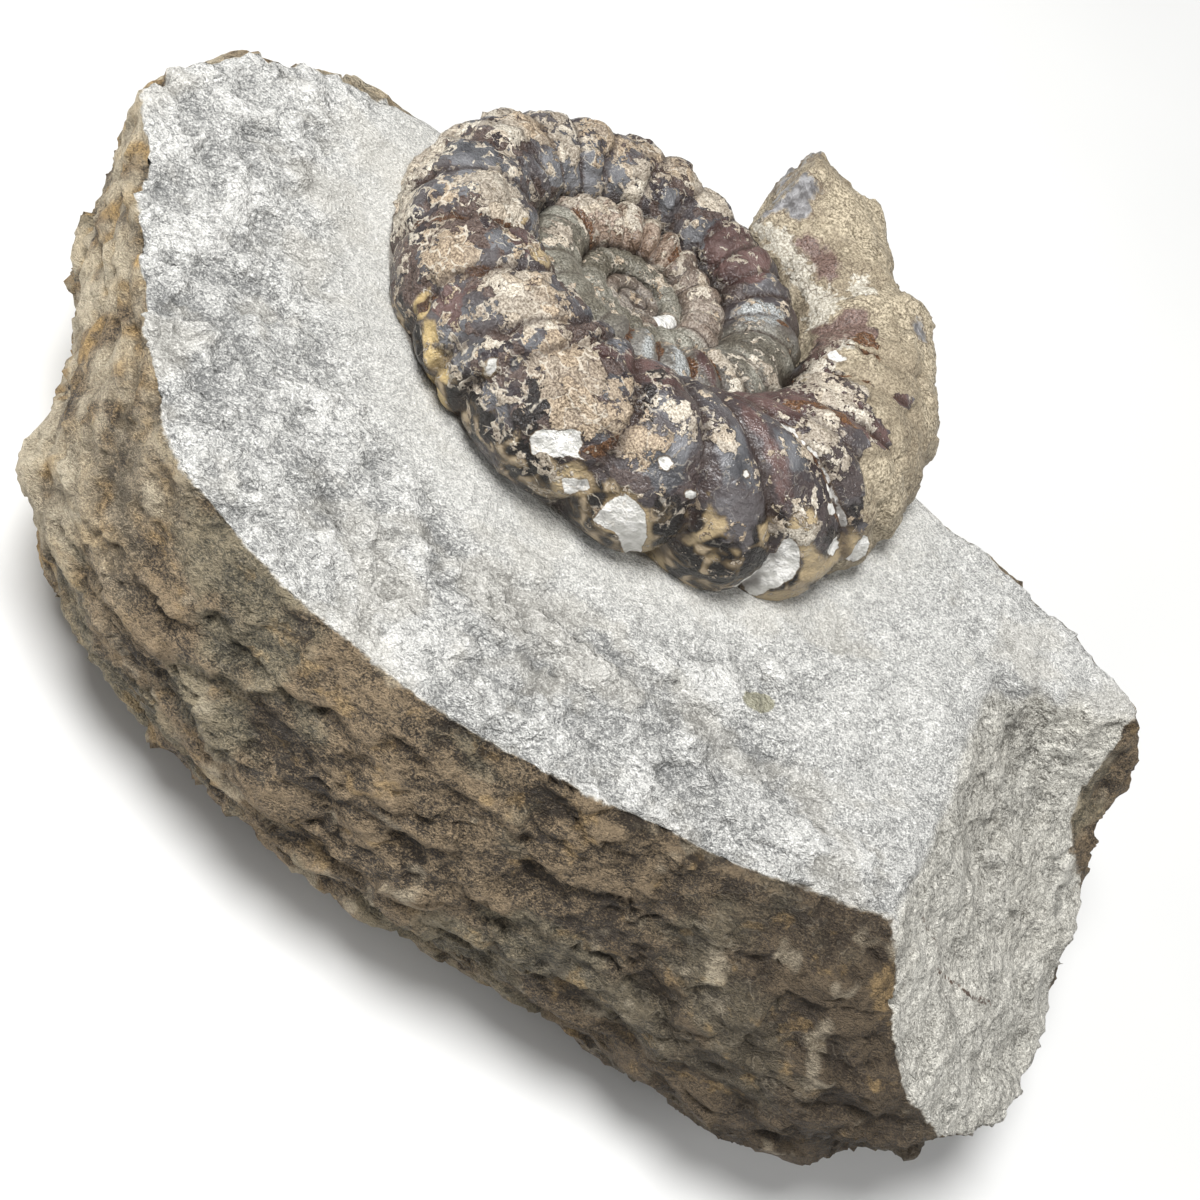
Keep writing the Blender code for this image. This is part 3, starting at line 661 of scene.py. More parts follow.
def ledge_relief(x, y):
    """Ledges, scoops and scratches of the grey face."""
    total = np.zeros(len(x))
    for rise, fade, line in FACE_LEDGES:
        signed, share = line_distance(x, y, line)
        signed = signed + 0.5 * np.sin(1.9 * x + 0.7 * y)
        taper = np.sin(math.pi * np.clip(share, 0.03, 0.97)) ** 0.6
        total += rise * taper * (smooth_step(signed, -0.5, 0.5) - 0.5) * bell(signed, fade)
    for scoop_x, scoop_y, half_length, half_width, depth in FACE_SCOOPS:
        reach = np.hypot((x - scoop_x) / half_length, (y - scoop_y) / half_width)
        total -= depth * np.clip(1.0 - reach ** 2, 0.0, 1.0)
    for line in SCRATCHES:
        signed, share = line_distance(x, y, line)
        total -= SCRATCH_SIZE[0] * bell(signed, SCRATCH_SIZE[1]) * np.sin(math.pi * share)
    return total


# Meshes

def deselect():
    for piece in bpy.context.selected_objects:
        piece.select_set(False)


def select_only(piece):
    deselect()
    piece.select_set(True)
    bpy.context.view_layer.objects.active = piece


def coordinates(mesh, what="co"):
    flat = np.zeros(len(mesh.vertices) * 3, np.float32)
    mesh.vertices.foreach_get(what, flat)
    return flat.reshape(-1, 3).astype(float)


def set_coordinates(mesh, points):
    mesh.vertices.foreach_set("co", points.astype(np.float32).ravel())
    mesh.update()


def store(mesh, name, values):
    layer = mesh.attributes.new(name, "FLOAT", "POINT")
    layer.data.foreach_set("value", np.asarray(values, np.float32))


def read_layer(mesh, name):
    values = np.zeros(len(mesh.vertices), np.float32)
    mesh.attributes[name].data.foreach_get("value", values)
    return values.astype(float)


def sheet_of_points(name, rows, merge_within, **layers):
    """A grid primitive whose points are set out in rows; merging closes its two long edges and its ends."""
    deselect()
    down, across = rows.shape[:2]
    bpy.ops.mesh.primitive_grid_add(x_subdivisions=across - 1, y_subdivisions=down - 1, size=1.0)
    piece = bpy.context.active_object
    piece.name = piece.data.name = name
    set_coordinates(piece.data, rows.reshape(-1, 3))
    for layer, values in layers.items():
        store(piece.data, layer, values.ravel())
    bpy.ops.object.mode_set(mode="EDIT")
    bpy.ops.mesh.select_all(action="SELECT")
    bpy.ops.mesh.remove_doubles(threshold=merge_within)
    bpy.ops.mesh.select_all(action="SELECT")
    bpy.ops.mesh.normals_make_consistent(inside=False)
    bpy.ops.object.mode_set(mode="OBJECT")
    piece.data.transform(block_to_world())
    piece.data.update()
    return piece


def surface(piece, material):
    """Smooth shading and one material."""
    select_only(piece)
    bpy.ops.object.shade_smooth()
    piece.data.materials.clear()
    piece.data.materials.append(material)


def apply_modifier(piece, kind, **settings):
    select_only(piece)
    modifier = piece.modifiers.new(kind.title(), kind)
    for key, value in settings.items():
        setattr(modifier, key, value)
    bpy.ops.object.modifier_apply(modifier=modifier.name)


def spline(points, share):
    """Smooth curve between the middle two of four points."""
    a, b, c, d = points
    return 0.5 * (2.0 * b + (c - a) * share + (2.0 * a - 5.0 * b + 4.0 * c - d) * share ** 2
                  + (3.0 * b - a - 3.0 * c + d) * share ** 3)


def outline_samples():
    rows = [np.array(row) for row in OUTLINE]
    samples = []
    for k, row in enumerate(rows):
        four = (rows[k - 1], row, rows[(k + 1) % len(rows)], rows[(k + 2) % len(rows)])
        count = max(1, round(float(np.linalg.norm(four[2][:2] - row[:2])) / RIM_STEP))
        samples += [spline(four, step / count) for step in range(count)]
    return np.array(samples)


def side_ring(samples, share):
    """Ring round the side of the block, at a share of the way down from the rim to the foot."""
    rim, belly, foot = samples[:, 0:2], samples[:, 2:4], samples[:, 4:6]
    middle = BELLY_DEPTH / FACE_HEIGHT
    top = face_height(rim[:, 0], rim[:, 1])
    place = (rim * (share - middle) * (share - 1.0) / middle
             + belly * share * (1.0 - share) / (middle * (1.0 - middle))
             + foot * share * (share - middle) / (1.0 - middle))
    ring = np.column_stack((place, top + (-FACE_HEIGHT - top) * share))
    away = ring[:, :2] - np.array(FACE_HEART)
    away /= np.linalg.norm(away, axis=1)[:, None]
    along = ring[:, 0] + ring[:, 1]
    push = sum(lift * wave(along, ring[:, 2] * repeat, length, seed)
               for lift, length, seed, repeat in SIDE_WAVES)
    ring[:, :2] += away * (max(0.0, math.sin(math.pi * share)) ** 0.6 * push)[:, None]
    return ring


def stone_rows():
    """Rings from the middle of the foot, up the side, over the rim and in to the heart of the face."""
    samples = outline_samples()
    foot = side_ring(samples, 1.0)
    middle = foot.mean(axis=0)
    rings = [middle + (foot - middle) * share for share in np.linspace(0.0, 1.0, FOOT_RINGS)]
    rings += [side_ring(samples, share) for share in np.linspace(1.0, 0.0, SIDE_RINGS)[1:-1]]
    rim, heart = samples[:, :2], np.array(FACE_HEART)
    for share in np.linspace(1.0, 0.0, FACE_RINGS):
        ring = heart + (rim - heart) * share
        rings.append(np.column_stack((ring, face_height(ring[:, 0], ring[:, 1]))))
    rows = np.array(rings)
    flat = rows.reshape(-1, 3)
    flat[:, 2] = np.minimum(flat[:, 2], break_height(flat[:, 0], flat[:, 1]))
    flat[:, 2] -= smooth_step(-outside_shell(flat), 1.2, 3.2) * (flat[:, 2] > -POCKET_DEPTH) * POCKET_DEPTH
    return np.concatenate((rows, rows[:, :1]), axis=1)


def rim_depth(x, y):
    """How far a point lies inside the rim's outline, seen from above; negative outside it."""
    rim = outline_samples()[:, :2]
    best = np.full(len(x), FAR)
    crossings = np.zeros(len(x), int)
    for a, b in zip(rim, np.roll(rim, -1, axis=0)):
        d = b - a
        share = np.clip(((x - a[0]) * d[0] + (y - a[1]) * d[1]) / (d @ d), 0.0, 1.0)
        best = np.minimum(best, (x - a[0] - share * d[0]) ** 2 + (y - a[1] - share * d[1]) ** 2)
        meets = (a[1] > y) != (b[1] > y)
        if d[1] != 0.0:
            crossings += meets & (x < a[0] + (y - a[1]) * d[0] / d[1])
    return np.sqrt(best) * np.where(crossings % 2, 1.0, -1.0)


def rough_stone(piece, strength):
    """Break, ledge and grain the surface of the stone, and note which parts are rind, break or stain."""
    mesh = piece.data
    world = coordinates(mesh)
    block = in_block(world)
    x, y, z = block.T
    under = np.minimum(face_height(x, y), break_height(x, y)) - z
    broken = smooth_step(face_height(x, y) - break_height(x, y), 0.2, 1.2)
    inside = np.full(len(x), -1.0)
    high = z > -RIM_REACH
    inside[high] = rim_depth(x[high], y[high])
    side = smooth_step(under - 1.2 * np.maximum(inside - 1.0, 0.0), 0.4, 2.2)
    foot = smooth_step(z + FACE_HEIGHT, 0.15, 3.5)
    away = outside_shell(block)

    bent = block + FACET_BEND * rough(block, 4.0, 5.0, 2)[:, None]
    plates = relief(SIDE_RELIEF, block, bent)
    break_grain = relief(BREAK_GRAIN, block, bent)
    smoothed = smooth_step(x, 26.0, 42.0) * smooth_step(y, -42.0, -34.0)
    knapped = smooth_step(away, 1.5, 11.0) * (1.0 - 0.6 * smoothed)
    grain = relief(FACE_GRAIN, block) + knapped * relief(FACE_DENTS, block, bent)
    top = (1.0 - side) * ((1.0 - broken) * (grain + ledge_relief(x, y)) + broken * break_grain)
    push = strength * foot * (side * plates + top)
    set_coordinates(mesh, world + coordinates(mesh, "normal") * (push * MM)[:, None])

    far_strip = broken * smooth_step(x, 67.0, 71.0) * smooth_step(y, -19.0, -12.0)
    store(mesh, "rind", under - 0.3 - 0.35 * np.maximum(inside, 0.0) - 8.0 * smooth_step(inside, 1.6, 3.0)
          + 0.8 * far_strip)
    store(mesh, "broken", broken)
    stain = np.zeros(len(x))
    for stain_x, stain_y, radius, amount in FACE_STAINS:
        stain += amount * bell(np.hypot(x - stain_x, y - stain_y), radius)
    store(mesh, "stain", stain)
    crack = np.full(len(x), 9.0)
    for line in CRACKS:
        crack = np.minimum(crack, np.abs(line_distance(x, y, line)[0]))
    store(mesh, "crack", crack)
    store(mesh, "near_shell", away)
    store(mesh, "relief", np.where(side > 0.5, plates, np.where(broken > 0.5, break_grain, grain)))
    store(mesh, "knapped", np.maximum(knapped, broken))
    long_x, long_y = LENS_LONG_WAY
    from_x, from_y = x - LENS_MIDDLE[0], y - LENS_MIDDLE[1]
    reach = np.hypot((from_x * long_x + from_y * long_y) / LENS_SIZE[0],
                     (from_y * long_x - from_x * long_y) / LENS_SIZE[1])
    store(mesh, "lens", np.maximum((1.0 - reach) * 3.0, -2.0))


# The coil

def groove_table():
    """Angles of every groove at the places of GROOVE_PLACES, inwards to outwards."""
    inner = [[angle] * len(GROOVE_PLACES) for angle in INNER_GROOVES]
    first = INNER_GROOVES[0]
    early = [[first - EARLY_GROOVE_STEP * k] * len(GROOVE_PLACES) for k in range(EARLY_GROOVES, 0, -1)]
    return np.array(early + inner + [list(row) for row in GROOVES])


def rib_phase(angle, place):
    """Number of the rib, the share of the way across it and its width, at each point of the shell."""
    table = groove_table()
    spot = np.clip(place, GROOVE_PLACES[0], GROOVE_PLACES[-1])
    index = np.clip(np.searchsorted(GROOVE_PLACES, spot) - 1, 0, len(GROOVE_PLACES) - 2)
    low = np.array(GROOVE_PLACES)[index]
    share = (spot - low) / (GROOVE_PLACES[1] - GROOVE_PLACES[0])
    number = np.zeros(len(angle), int)
    below = np.full(len(angle), -FAR)
    above = np.full(len(angle), FAR)
    for k, row in enumerate(table):
        line = row[index] * (1.0 - share) + row[index + 1] * share
        under = line <= angle
        number = np.where(under, k, number)
        below = np.where(under, line, below)
        above = np.where(~under & (above == FAR), line, above)
    width = np.clip(above - below, 4.0, 60.0)
    return number - (len(table) - len(GROOVES)), np.clip((angle - below) / width, 0.0, 1.0), width


def outline_depth(corners, angle, place):
    """Depth inside one outlined patch, in millimetres; negative outside it."""
    corners = np.array(corners)
    middle = corners.mean(axis=0)
    scale = np.radians(centre_radius(middle[0])) * np.array((
        1.0 + HALF_HEIGHT * math.cos(math.radians(middle[1])), 0.5 * (HALF_HEIGHT + HALF_WIDTH)))
    margin = 4.0 / scale
    low, high = corners.min(axis=0) - margin, corners.max(axis=0) + margin
    near = (angle > low[0]) & (angle < high[0]) & (place > low[1]) & (place < high[1])
    x, y = angle[near] * scale[0], place[near] * scale[1]
    inside = np.zeros(len(x), bool)
    gap = np.full(len(x), 9.0)
    ends = corners * scale
    for (ax, ay), (bx, by) in zip(ends, np.roll(ends, -1, axis=0)):
        dx, dy = bx - ax, by - ay
        share = np.clip(((x - ax) * dx + (y - ay) * dy) / max(dx * dx + dy * dy, 1e-9), 0.0, 1.0)
        gap = np.minimum(gap, np.hypot(x - ax - share * dx, y - ay - share * dy))
        slope = dx / dy if dy else 0.0
        inside ^= ((ay > y) != (by > y)) & (x < ax + (y - ay) * slope)
    depth = np.full(len(angle), OUTSIDE)
    depth[near] = np.maximum(np.where(inside, gap, -gap), OUTSIDE)
    return depth


def patch_level(kind, angle, place, radius):
    """Depth inside the patches of one kind, in millimetres; negative outside them."""
    level = np.full(len(angle), OUTSIDE)
    for mid, spot, half_angle, half_place, *lean in PATCHES.get(kind, ()):
        u = (angle - mid - sum(lean) * (place - spot)) / half_angle
        v = (place - spot) / half_place
        size = np.radians(np.minimum(half_angle * TURN_LENGTH, half_place * SECTION_LENGTH)) * radius
        inside = (1.0 - np.hypot(u, v)) * size
        level = np.where(np.abs(angle - mid) < NEAR_TURN, np.maximum(level, inside), level)
    for corners in OUTLINED.get(kind, ()):
        level = np.maximum(level, outline_depth(corners, angle, place))
    for k, shift, start, end in RIB_LINES.get(kind, ()):
        groove = np.interp(place, GROOVE_PLACES, GROOVES[k])
        off = np.radians(angle - groove - shift) * radius * TURN_LENGTH
        left = np.minimum(start - place, place - end) * np.radians(SECTION_LENGTH) * radius
        level = np.maximum(level, np.minimum(LINE_HALF_WIDTH - np.abs(off), 0.3 * left))
    return level


def coil_growth(angle, place, radius):
    """Height of ribs, lumps and knobs above the plain whorl, in millimetres."""
    number, share, width = rib_phase(angle, place)
    rows = np.array(RIB_STRENGTH).T
    wall, flank, rim = (np.interp(angle, rows[0], row) for row in rows[1:])
    strength = flank + (wall - flank) * smooth_step(place, 98.0, 128.0)
    strength += (rim - flank) * smooth_step(place, 45.0, 10.0)
    window = smooth_step(place, -70.0, -30.0) * (1.0 - 0.75 * smooth_step(place, 128.0, 158.0))
    hump = np.sin(math.pi * share) ** 0.62
    sway = 1.0 + 0.22 * np.sin(number * 2.4)
    spread = np.clip(width / 15.0, 0.6, 1.3)
    growth = radius * RIB_HEIGHT * strength * sway * spread * window * (hump - 0.45)
    total = np.zeros(len(angle))
    for lump_angle, lump_place, angle_spread, place_spread, height in CHAMBER_LUMPS:
        total += height * bell(angle - lump_angle, angle_spread) * bell(place - lump_place, place_spread)
    growth += radius * total
    for knob_angle, knob_place, knob_radius, height in KNOBS:
        u = np.radians(angle - knob_angle) * radius * TURN_LENGTH
        v = np.radians(place - knob_place) * radius * SECTION_LENGTH
        growth += height * bell(np.hypot(u, v), knob_radius) * (np.abs(angle - knob_angle) < NEAR_TURN)
    return growth


def coil_point(angle, place, radius, growth):
    """Points of the shell in the block's frame."""
    turn, round_section = np.radians(angle), np.radians(place)
    towards_axis = 0.62 * smooth_step(2.4 - radius, 0.0, 1.2) * (np.cos(round_section) < 0.0)
    away = radius + (radius * (HALF_HEIGHT + towards_axis) + growth) * np.cos(round_section)
    up = (radius * HALF_WIDTH + growth) * np.sin(round_section)
    local = np.stack((away * np.cos(turn), away * np.sin(turn), up), axis=-1)
    return local @ coil_axes() + np.array((0.0, 0.0, APEX_HEIGHT))


def coil_rows(steps, top_columns, under_columns):
    """Sections of the whorl from the apex to the broken end, closed by a point at each end."""
    radius = np.linspace(FIRST_RADIUS, END_RADIUS, steps)
    angle = END_ANGLE + 360.0 * np.log(radius / END_RADIUS) / math.log(WHORL_EXPANSION)
    start, split, end = SECTION_PLACES
    top, under = np.linspace(start, split, top_columns), np.linspace(split, end, under_columns)
    place = np.concatenate((top, under[1:]))
    lean = 9.0 * smooth_step(159.0 - np.abs(place), 0.0, 159.0) - 6.0
    angles = angle[:, None] + lean[None, :] * smooth_step(angle, 0.0, END_ANGLE)[:, None]
    places = np.broadcast_to(place, angles.shape)
    radii = centre_radius(angles)
    growth = coil_growth(angles.ravel(), places.ravel(), radii.ravel()).reshape(angles.shape)
    points = coil_point(angles, places, radii, growth)
    start, end = points[0, :-1].mean(axis=0), points[-1, :-1].mean(axis=0)
    for k in range(ROUNDED_ROWS):
        shrink = math.sqrt(1.0 - ((ROUNDED_ROWS - 0.5 - k) / ROUNDED_ROWS) ** 2)
        points[k] = start + (points[k] - start) * shrink
        points[-1 - k] = end + (points[-1 - k] - end) * (1.0 - CAP_SHRINK + CAP_SHRINK * shrink)
    start, end = points[0, :-1].mean(axis=0), points[-1, :-1].mean(axis=0)
    caps = [end + (points[-1] - end) * share for share in np.linspace(1.0, 0.0, CAP_ROWS + 1)[1:]]
    rows = np.concatenate(([np.broadcast_to(start, points[0].shape)], points, caps))
    rows[:, -1] = rows[:, 0]
    angles, places = (np.concatenate((table[:1], table, np.repeat(table[-1:], CAP_ROWS, axis=0)))
                      for table in (angles, places))
    return rows, angles, places


def finish_coil(piece):
    """Crusts, flakes and pits of the shell, and a layer for each of its finishes."""
    mesh = piece.data
    angle, place = read_layer(mesh, "turn"), read_layer(mesh, "place")
    radius = centre_radius(angle)
    world = coordinates(mesh)
    block = in_block(world)
    _, share, width = rib_phase(angle, place)

    wobble = rough(block, 2.6, 1.0, 3)
    sway = rough(block, 5.5, 1.5, 2)
    levels = {}
    for kind in PATCH_KINDS:
        fine, broad = LOOSE_EDGES.get(kind, USUAL_EDGES)
        levels[kind] = patch_level(kind, angle, place, radius) + fine * wobble + broad * sway
    past_edge = np.radians(angle - from_table(CHAMBER_EDGE, place)) * radius * TURN_LENGTH
    chamber = np.minimum(past_edge + 1.2 * wobble, 6.0)
    shell_left = np.maximum(np.maximum(levels["plum"], levels["slate"]), levels["rust"])
    chamber = np.where((shell_left > 0.0) & (angle < 30.0), -shell_left, chamber)
    inner = smooth_step(-angle, 278.0, 292.0)
    flaky = from_table(FLAKING, angle) * (1.0 - 0.8 * smooth_step(-place, 0.0, 40.0))

    crust = smooth_step(np.maximum(levels["cream"], levels["crust"]), -0.1, 0.4)
    filling = smooth_step(chamber, -0.1, 0.5)
    rim_calcite = smooth_step(levels["white"], 0.0, 0.4) * (place < 24.0) * (angle > -90.0)
    lift = crust * (CRUST_HEIGHT + relief(CRUST_RELIEF, block))
    lift += filling * (relief(FILLING_RELIEF, block) - FILLING_DEPTH)
    lift += flaky * relief(CRUMPLE, block) * (1.0 - filling)
    lift += relief(SHELL_GRAIN, block) + inner * relief(INNER_GRAIN, block) - CALCITE_DEPTH * rim_calcite
    lift *= np.clip(radius / 16.0, 0.25, 1.0)
    set_coordinates(mesh, world + coordinates(mesh, "normal") * (lift * MM)[:, None])

    for kind, level in levels.items():
        store(mesh, kind, level)
    store(mesh, "chamber", chamber)
    store(mesh, "flaky", flaky)
    store(mesh, "knobs", from_table(KNOBBED, angle))
    store(mesh, "moss", from_table(MOSSY, angle))
    store(mesh, "groove", np.minimum(share, 1.0 - share) * width)
    store(mesh, "inner", inner)


# Finishes

class Wiring:
    """Short ways to add and join the nodes of one material or group."""

    def __init__(self, tree):
        self.tree = tree
        self.count = 0

    def add(self, kind, **settings):
        node = self.tree.nodes.new(kind)
        node.location = (220.0 * (self.count % 12), -260.0 * (self.count // 12))
        self.count += 1
        for key, value in settings.items():
            setattr(node, key, value)
        return node

    def put(self, socket, value):
        if isinstance(value, bpy.types.NodeSocket):
            self.tree.links.new(value, socket)
        elif isinstance(value, tuple) and len(value) == 3 and len(socket.default_value) == 4:
            socket.default_value = (*value, 1.0)
        else:
            socket.default_value = value

    def math(self, operation, first, second=0.0, clamp=False):
        node = self.add("ShaderNodeMath", operation=operation, use_clamp=clamp)
        self.put(node.inputs[0], first)
        self.put(node.inputs[1], second)
        return node.outputs[0]

    def times(self, *values):
        return reduce(partial(self.math, "MULTIPLY"), values)

    def plus(self, first, second, clamp=False):
        return self.math("ADD", first, second, clamp)

    def minus(self, first, second):
        return self.math("SUBTRACT", first, second)

    def rest(self, value):
        """One minus a share, kept between 0 and 1."""
        return self.math("SUBTRACT", 1.0, value, clamp=True)

    def total(self, *parts):
        """Sum of values, each with its weight."""
        return reduce(self.plus, [self.times(value, weight) for value, weight in parts])

    def mix(self, factor, first, second):
        node = self.add("ShaderNodeMix", data_type="RGBA")
        self.put(node.inputs[0], factor)
        self.put(node.inputs[6], first)
        self.put(node.inputs[7], second)
        return node.outputs[2]

    def blend(self, factor, first, second):
        node = self.add("ShaderNodeMix", data_type="FLOAT")
        self.put(node.inputs[0], factor)
        self.put(node.inputs[2], first)
        self.put(node.inputs[3], second)
        return node.outputs[0]

    def band(self, value, low, high, start=0.0, end=1.0):
        """Smooth passage from start to end as value goes from low to high."""
        node = self.add("ShaderNodeMapRange", interpolation_type="SMOOTHSTEP")
        for socket, number in zip(node.inputs[:5], (value, low, high, start, end)):
            self.put(socket, number)
        return node.outputs[0]

    def layer(self, name):
        return self.add("ShaderNodeAttribute", attribute_name=name).outputs["Fac"]

    def scale(self, size):
        """Scale of a texture whose lumps have a size in millimetres, given as a number or by a socket."""
        if isinstance(size, bpy.types.NodeSocket):
            return self.math("DIVIDE", 1.0 / MM, size)
        return 1.0 / (size * MM)

    def noise(self, vector, size, detail=2.0, roughness=0.5, distortion=0.0, output="Fac"):
        node = self.add("ShaderNodeTexNoise")
        for label, value in (("Vector", vector), ("Scale", self.scale(size)), ("Detail", detail),
                             ("Roughness", roughness), ("Distortion", distortion)):
            self.put(node.inputs[label], value)
        return node.outputs[output]

    def cells(self, vector, size, feature="DISTANCE_TO_EDGE", output="Distance"):
        node = self.add("ShaderNodeTexVoronoi", feature=feature)
        self.put(node.inputs["Vector"], vector)
        self.put(node.inputs["Scale"], self.scale(size))
        return node.outputs[output]

    def mapped(self, vector, scale, turn=0.0):
        node = self.add("ShaderNodeMapping")
        node.inputs["Rotation"].default_value = (0.0, 0.0, turn)
        node.inputs["Scale"].default_value = scale
        self.put(node.inputs["Vector"], vector)
        return node.outputs["Vector"]

    def parts(self, kind, value):
        """The parts of a colour or a vector."""
        node = self.add(kind)
        self.put(node.inputs[0], value)
        return node.outputs

    def group(self, tree, **values):
        node = self.add("ShaderNodeGroup")
        node.node_tree = tree
        for key, value in values.items():
            self.put(node.inputs[key.replace("_", " ")], value)
        return node.outputs


def new_group(name, inputs, outputs):
    """A shader group with named sockets, all numbers but for Vector; its wiring, inputs and outputs."""
    tree = bpy.data.node_groups.new(name, "ShaderNodeTree")
    for labels, way in ((inputs, "INPUT"), (outputs, "OUTPUT")):
        for label in labels:
            kind = "NodeSocketVector" if label == "Vector" else "NodeSocketFloat"
            tree.interface.new_socket(name=label, in_out=way, socket_type=kind)
    wiring = Wiring(tree)
    return wiring, wiring.add("NodeGroupInput").outputs, wiring.add("NodeGroupOutput").inputs


def mineral_grain_group():
    """Fine speckle and broader clouds, for every stony finish."""
    w, given, out = new_group("Mineral grain", ("Vector", "Size"), ("Speckle", "Cloud"))
    w.put(out["Speckle"], w.band(w.noise(given["Vector"], given["Size"], 2.0, 0.62), 0.32, 0.68))
    broad = w.noise(given["Vector"], w.times(given["Size"], 7.0), 3.0, 0.62)
    w.put(out["Cloud"], w.band(broad, 0.34, 0.66))
    return w.tree


def ragged_patch_group():
    """Turns a depth in millimetres into a patch with a torn edge, and a thin line along that edge."""
    w, given, out = new_group("Ragged patch", ("Level", "Torn", "Tear", "Soft"), ("Mask", "Edge"))
    level = w.plus(given["Level"], w.times(w.minus(given["Torn"], 0.5), given["Tear"]))
    w.put(out["Mask"], w.band(level, -0.05, w.plus(given["Soft"], 0.07)))
    w.put(out["Edge"], w.rest(w.band(w.math("ABSOLUTE", level), 0.03, 0.16)))
    return w.tree


def ledges_group():
    """Thin stacked ledges: a height, painted highlight on each lip, painted shade in the hollow under it."""
    w, given, out = new_group("Ledges", ("Vector", "Size", "Count"), ("Height", "Lip", "Hollow"))
    field = w.noise(given["Vector"], given["Size"], 3.0, 0.56)
    stair = w.math("FRACT", w.times(field, given["Count"]))
    w.put(out["Height"], stair)
    # painted highlight just before each drop of the ledges
    w.put(out["Lip"], w.rest(w.times(w.math("ABSOLUTE", w.minus(stair, 0.92)), 12.0)))
    # painted shade just after each drop of the ledges
    w.put(out["Hollow"], w.rest(w.band(stair, 0.02, 0.22)))
    return w.tree


def new_material(name):
    material = bpy.data.materials.new(name)
    material.use_nodes = True
    wiring = Wiring(material.node_tree)
    shader = material.node_tree.nodes["Principled BSDF"]
    return material, wiring, shader, wiring.add("ShaderNodeTexCoord").outputs["Object"]


def bump(w, shader, height, distance, strength=1.0):
    node = w.add("ShaderNodeBump")
    node.inputs["Strength"].default_value = strength
    node.inputs["Distance"].default_value = distance * MM
    w.put(node.inputs["Height"], height)
    w.put(shader.inputs["Normal"], node.outputs["Normal"])


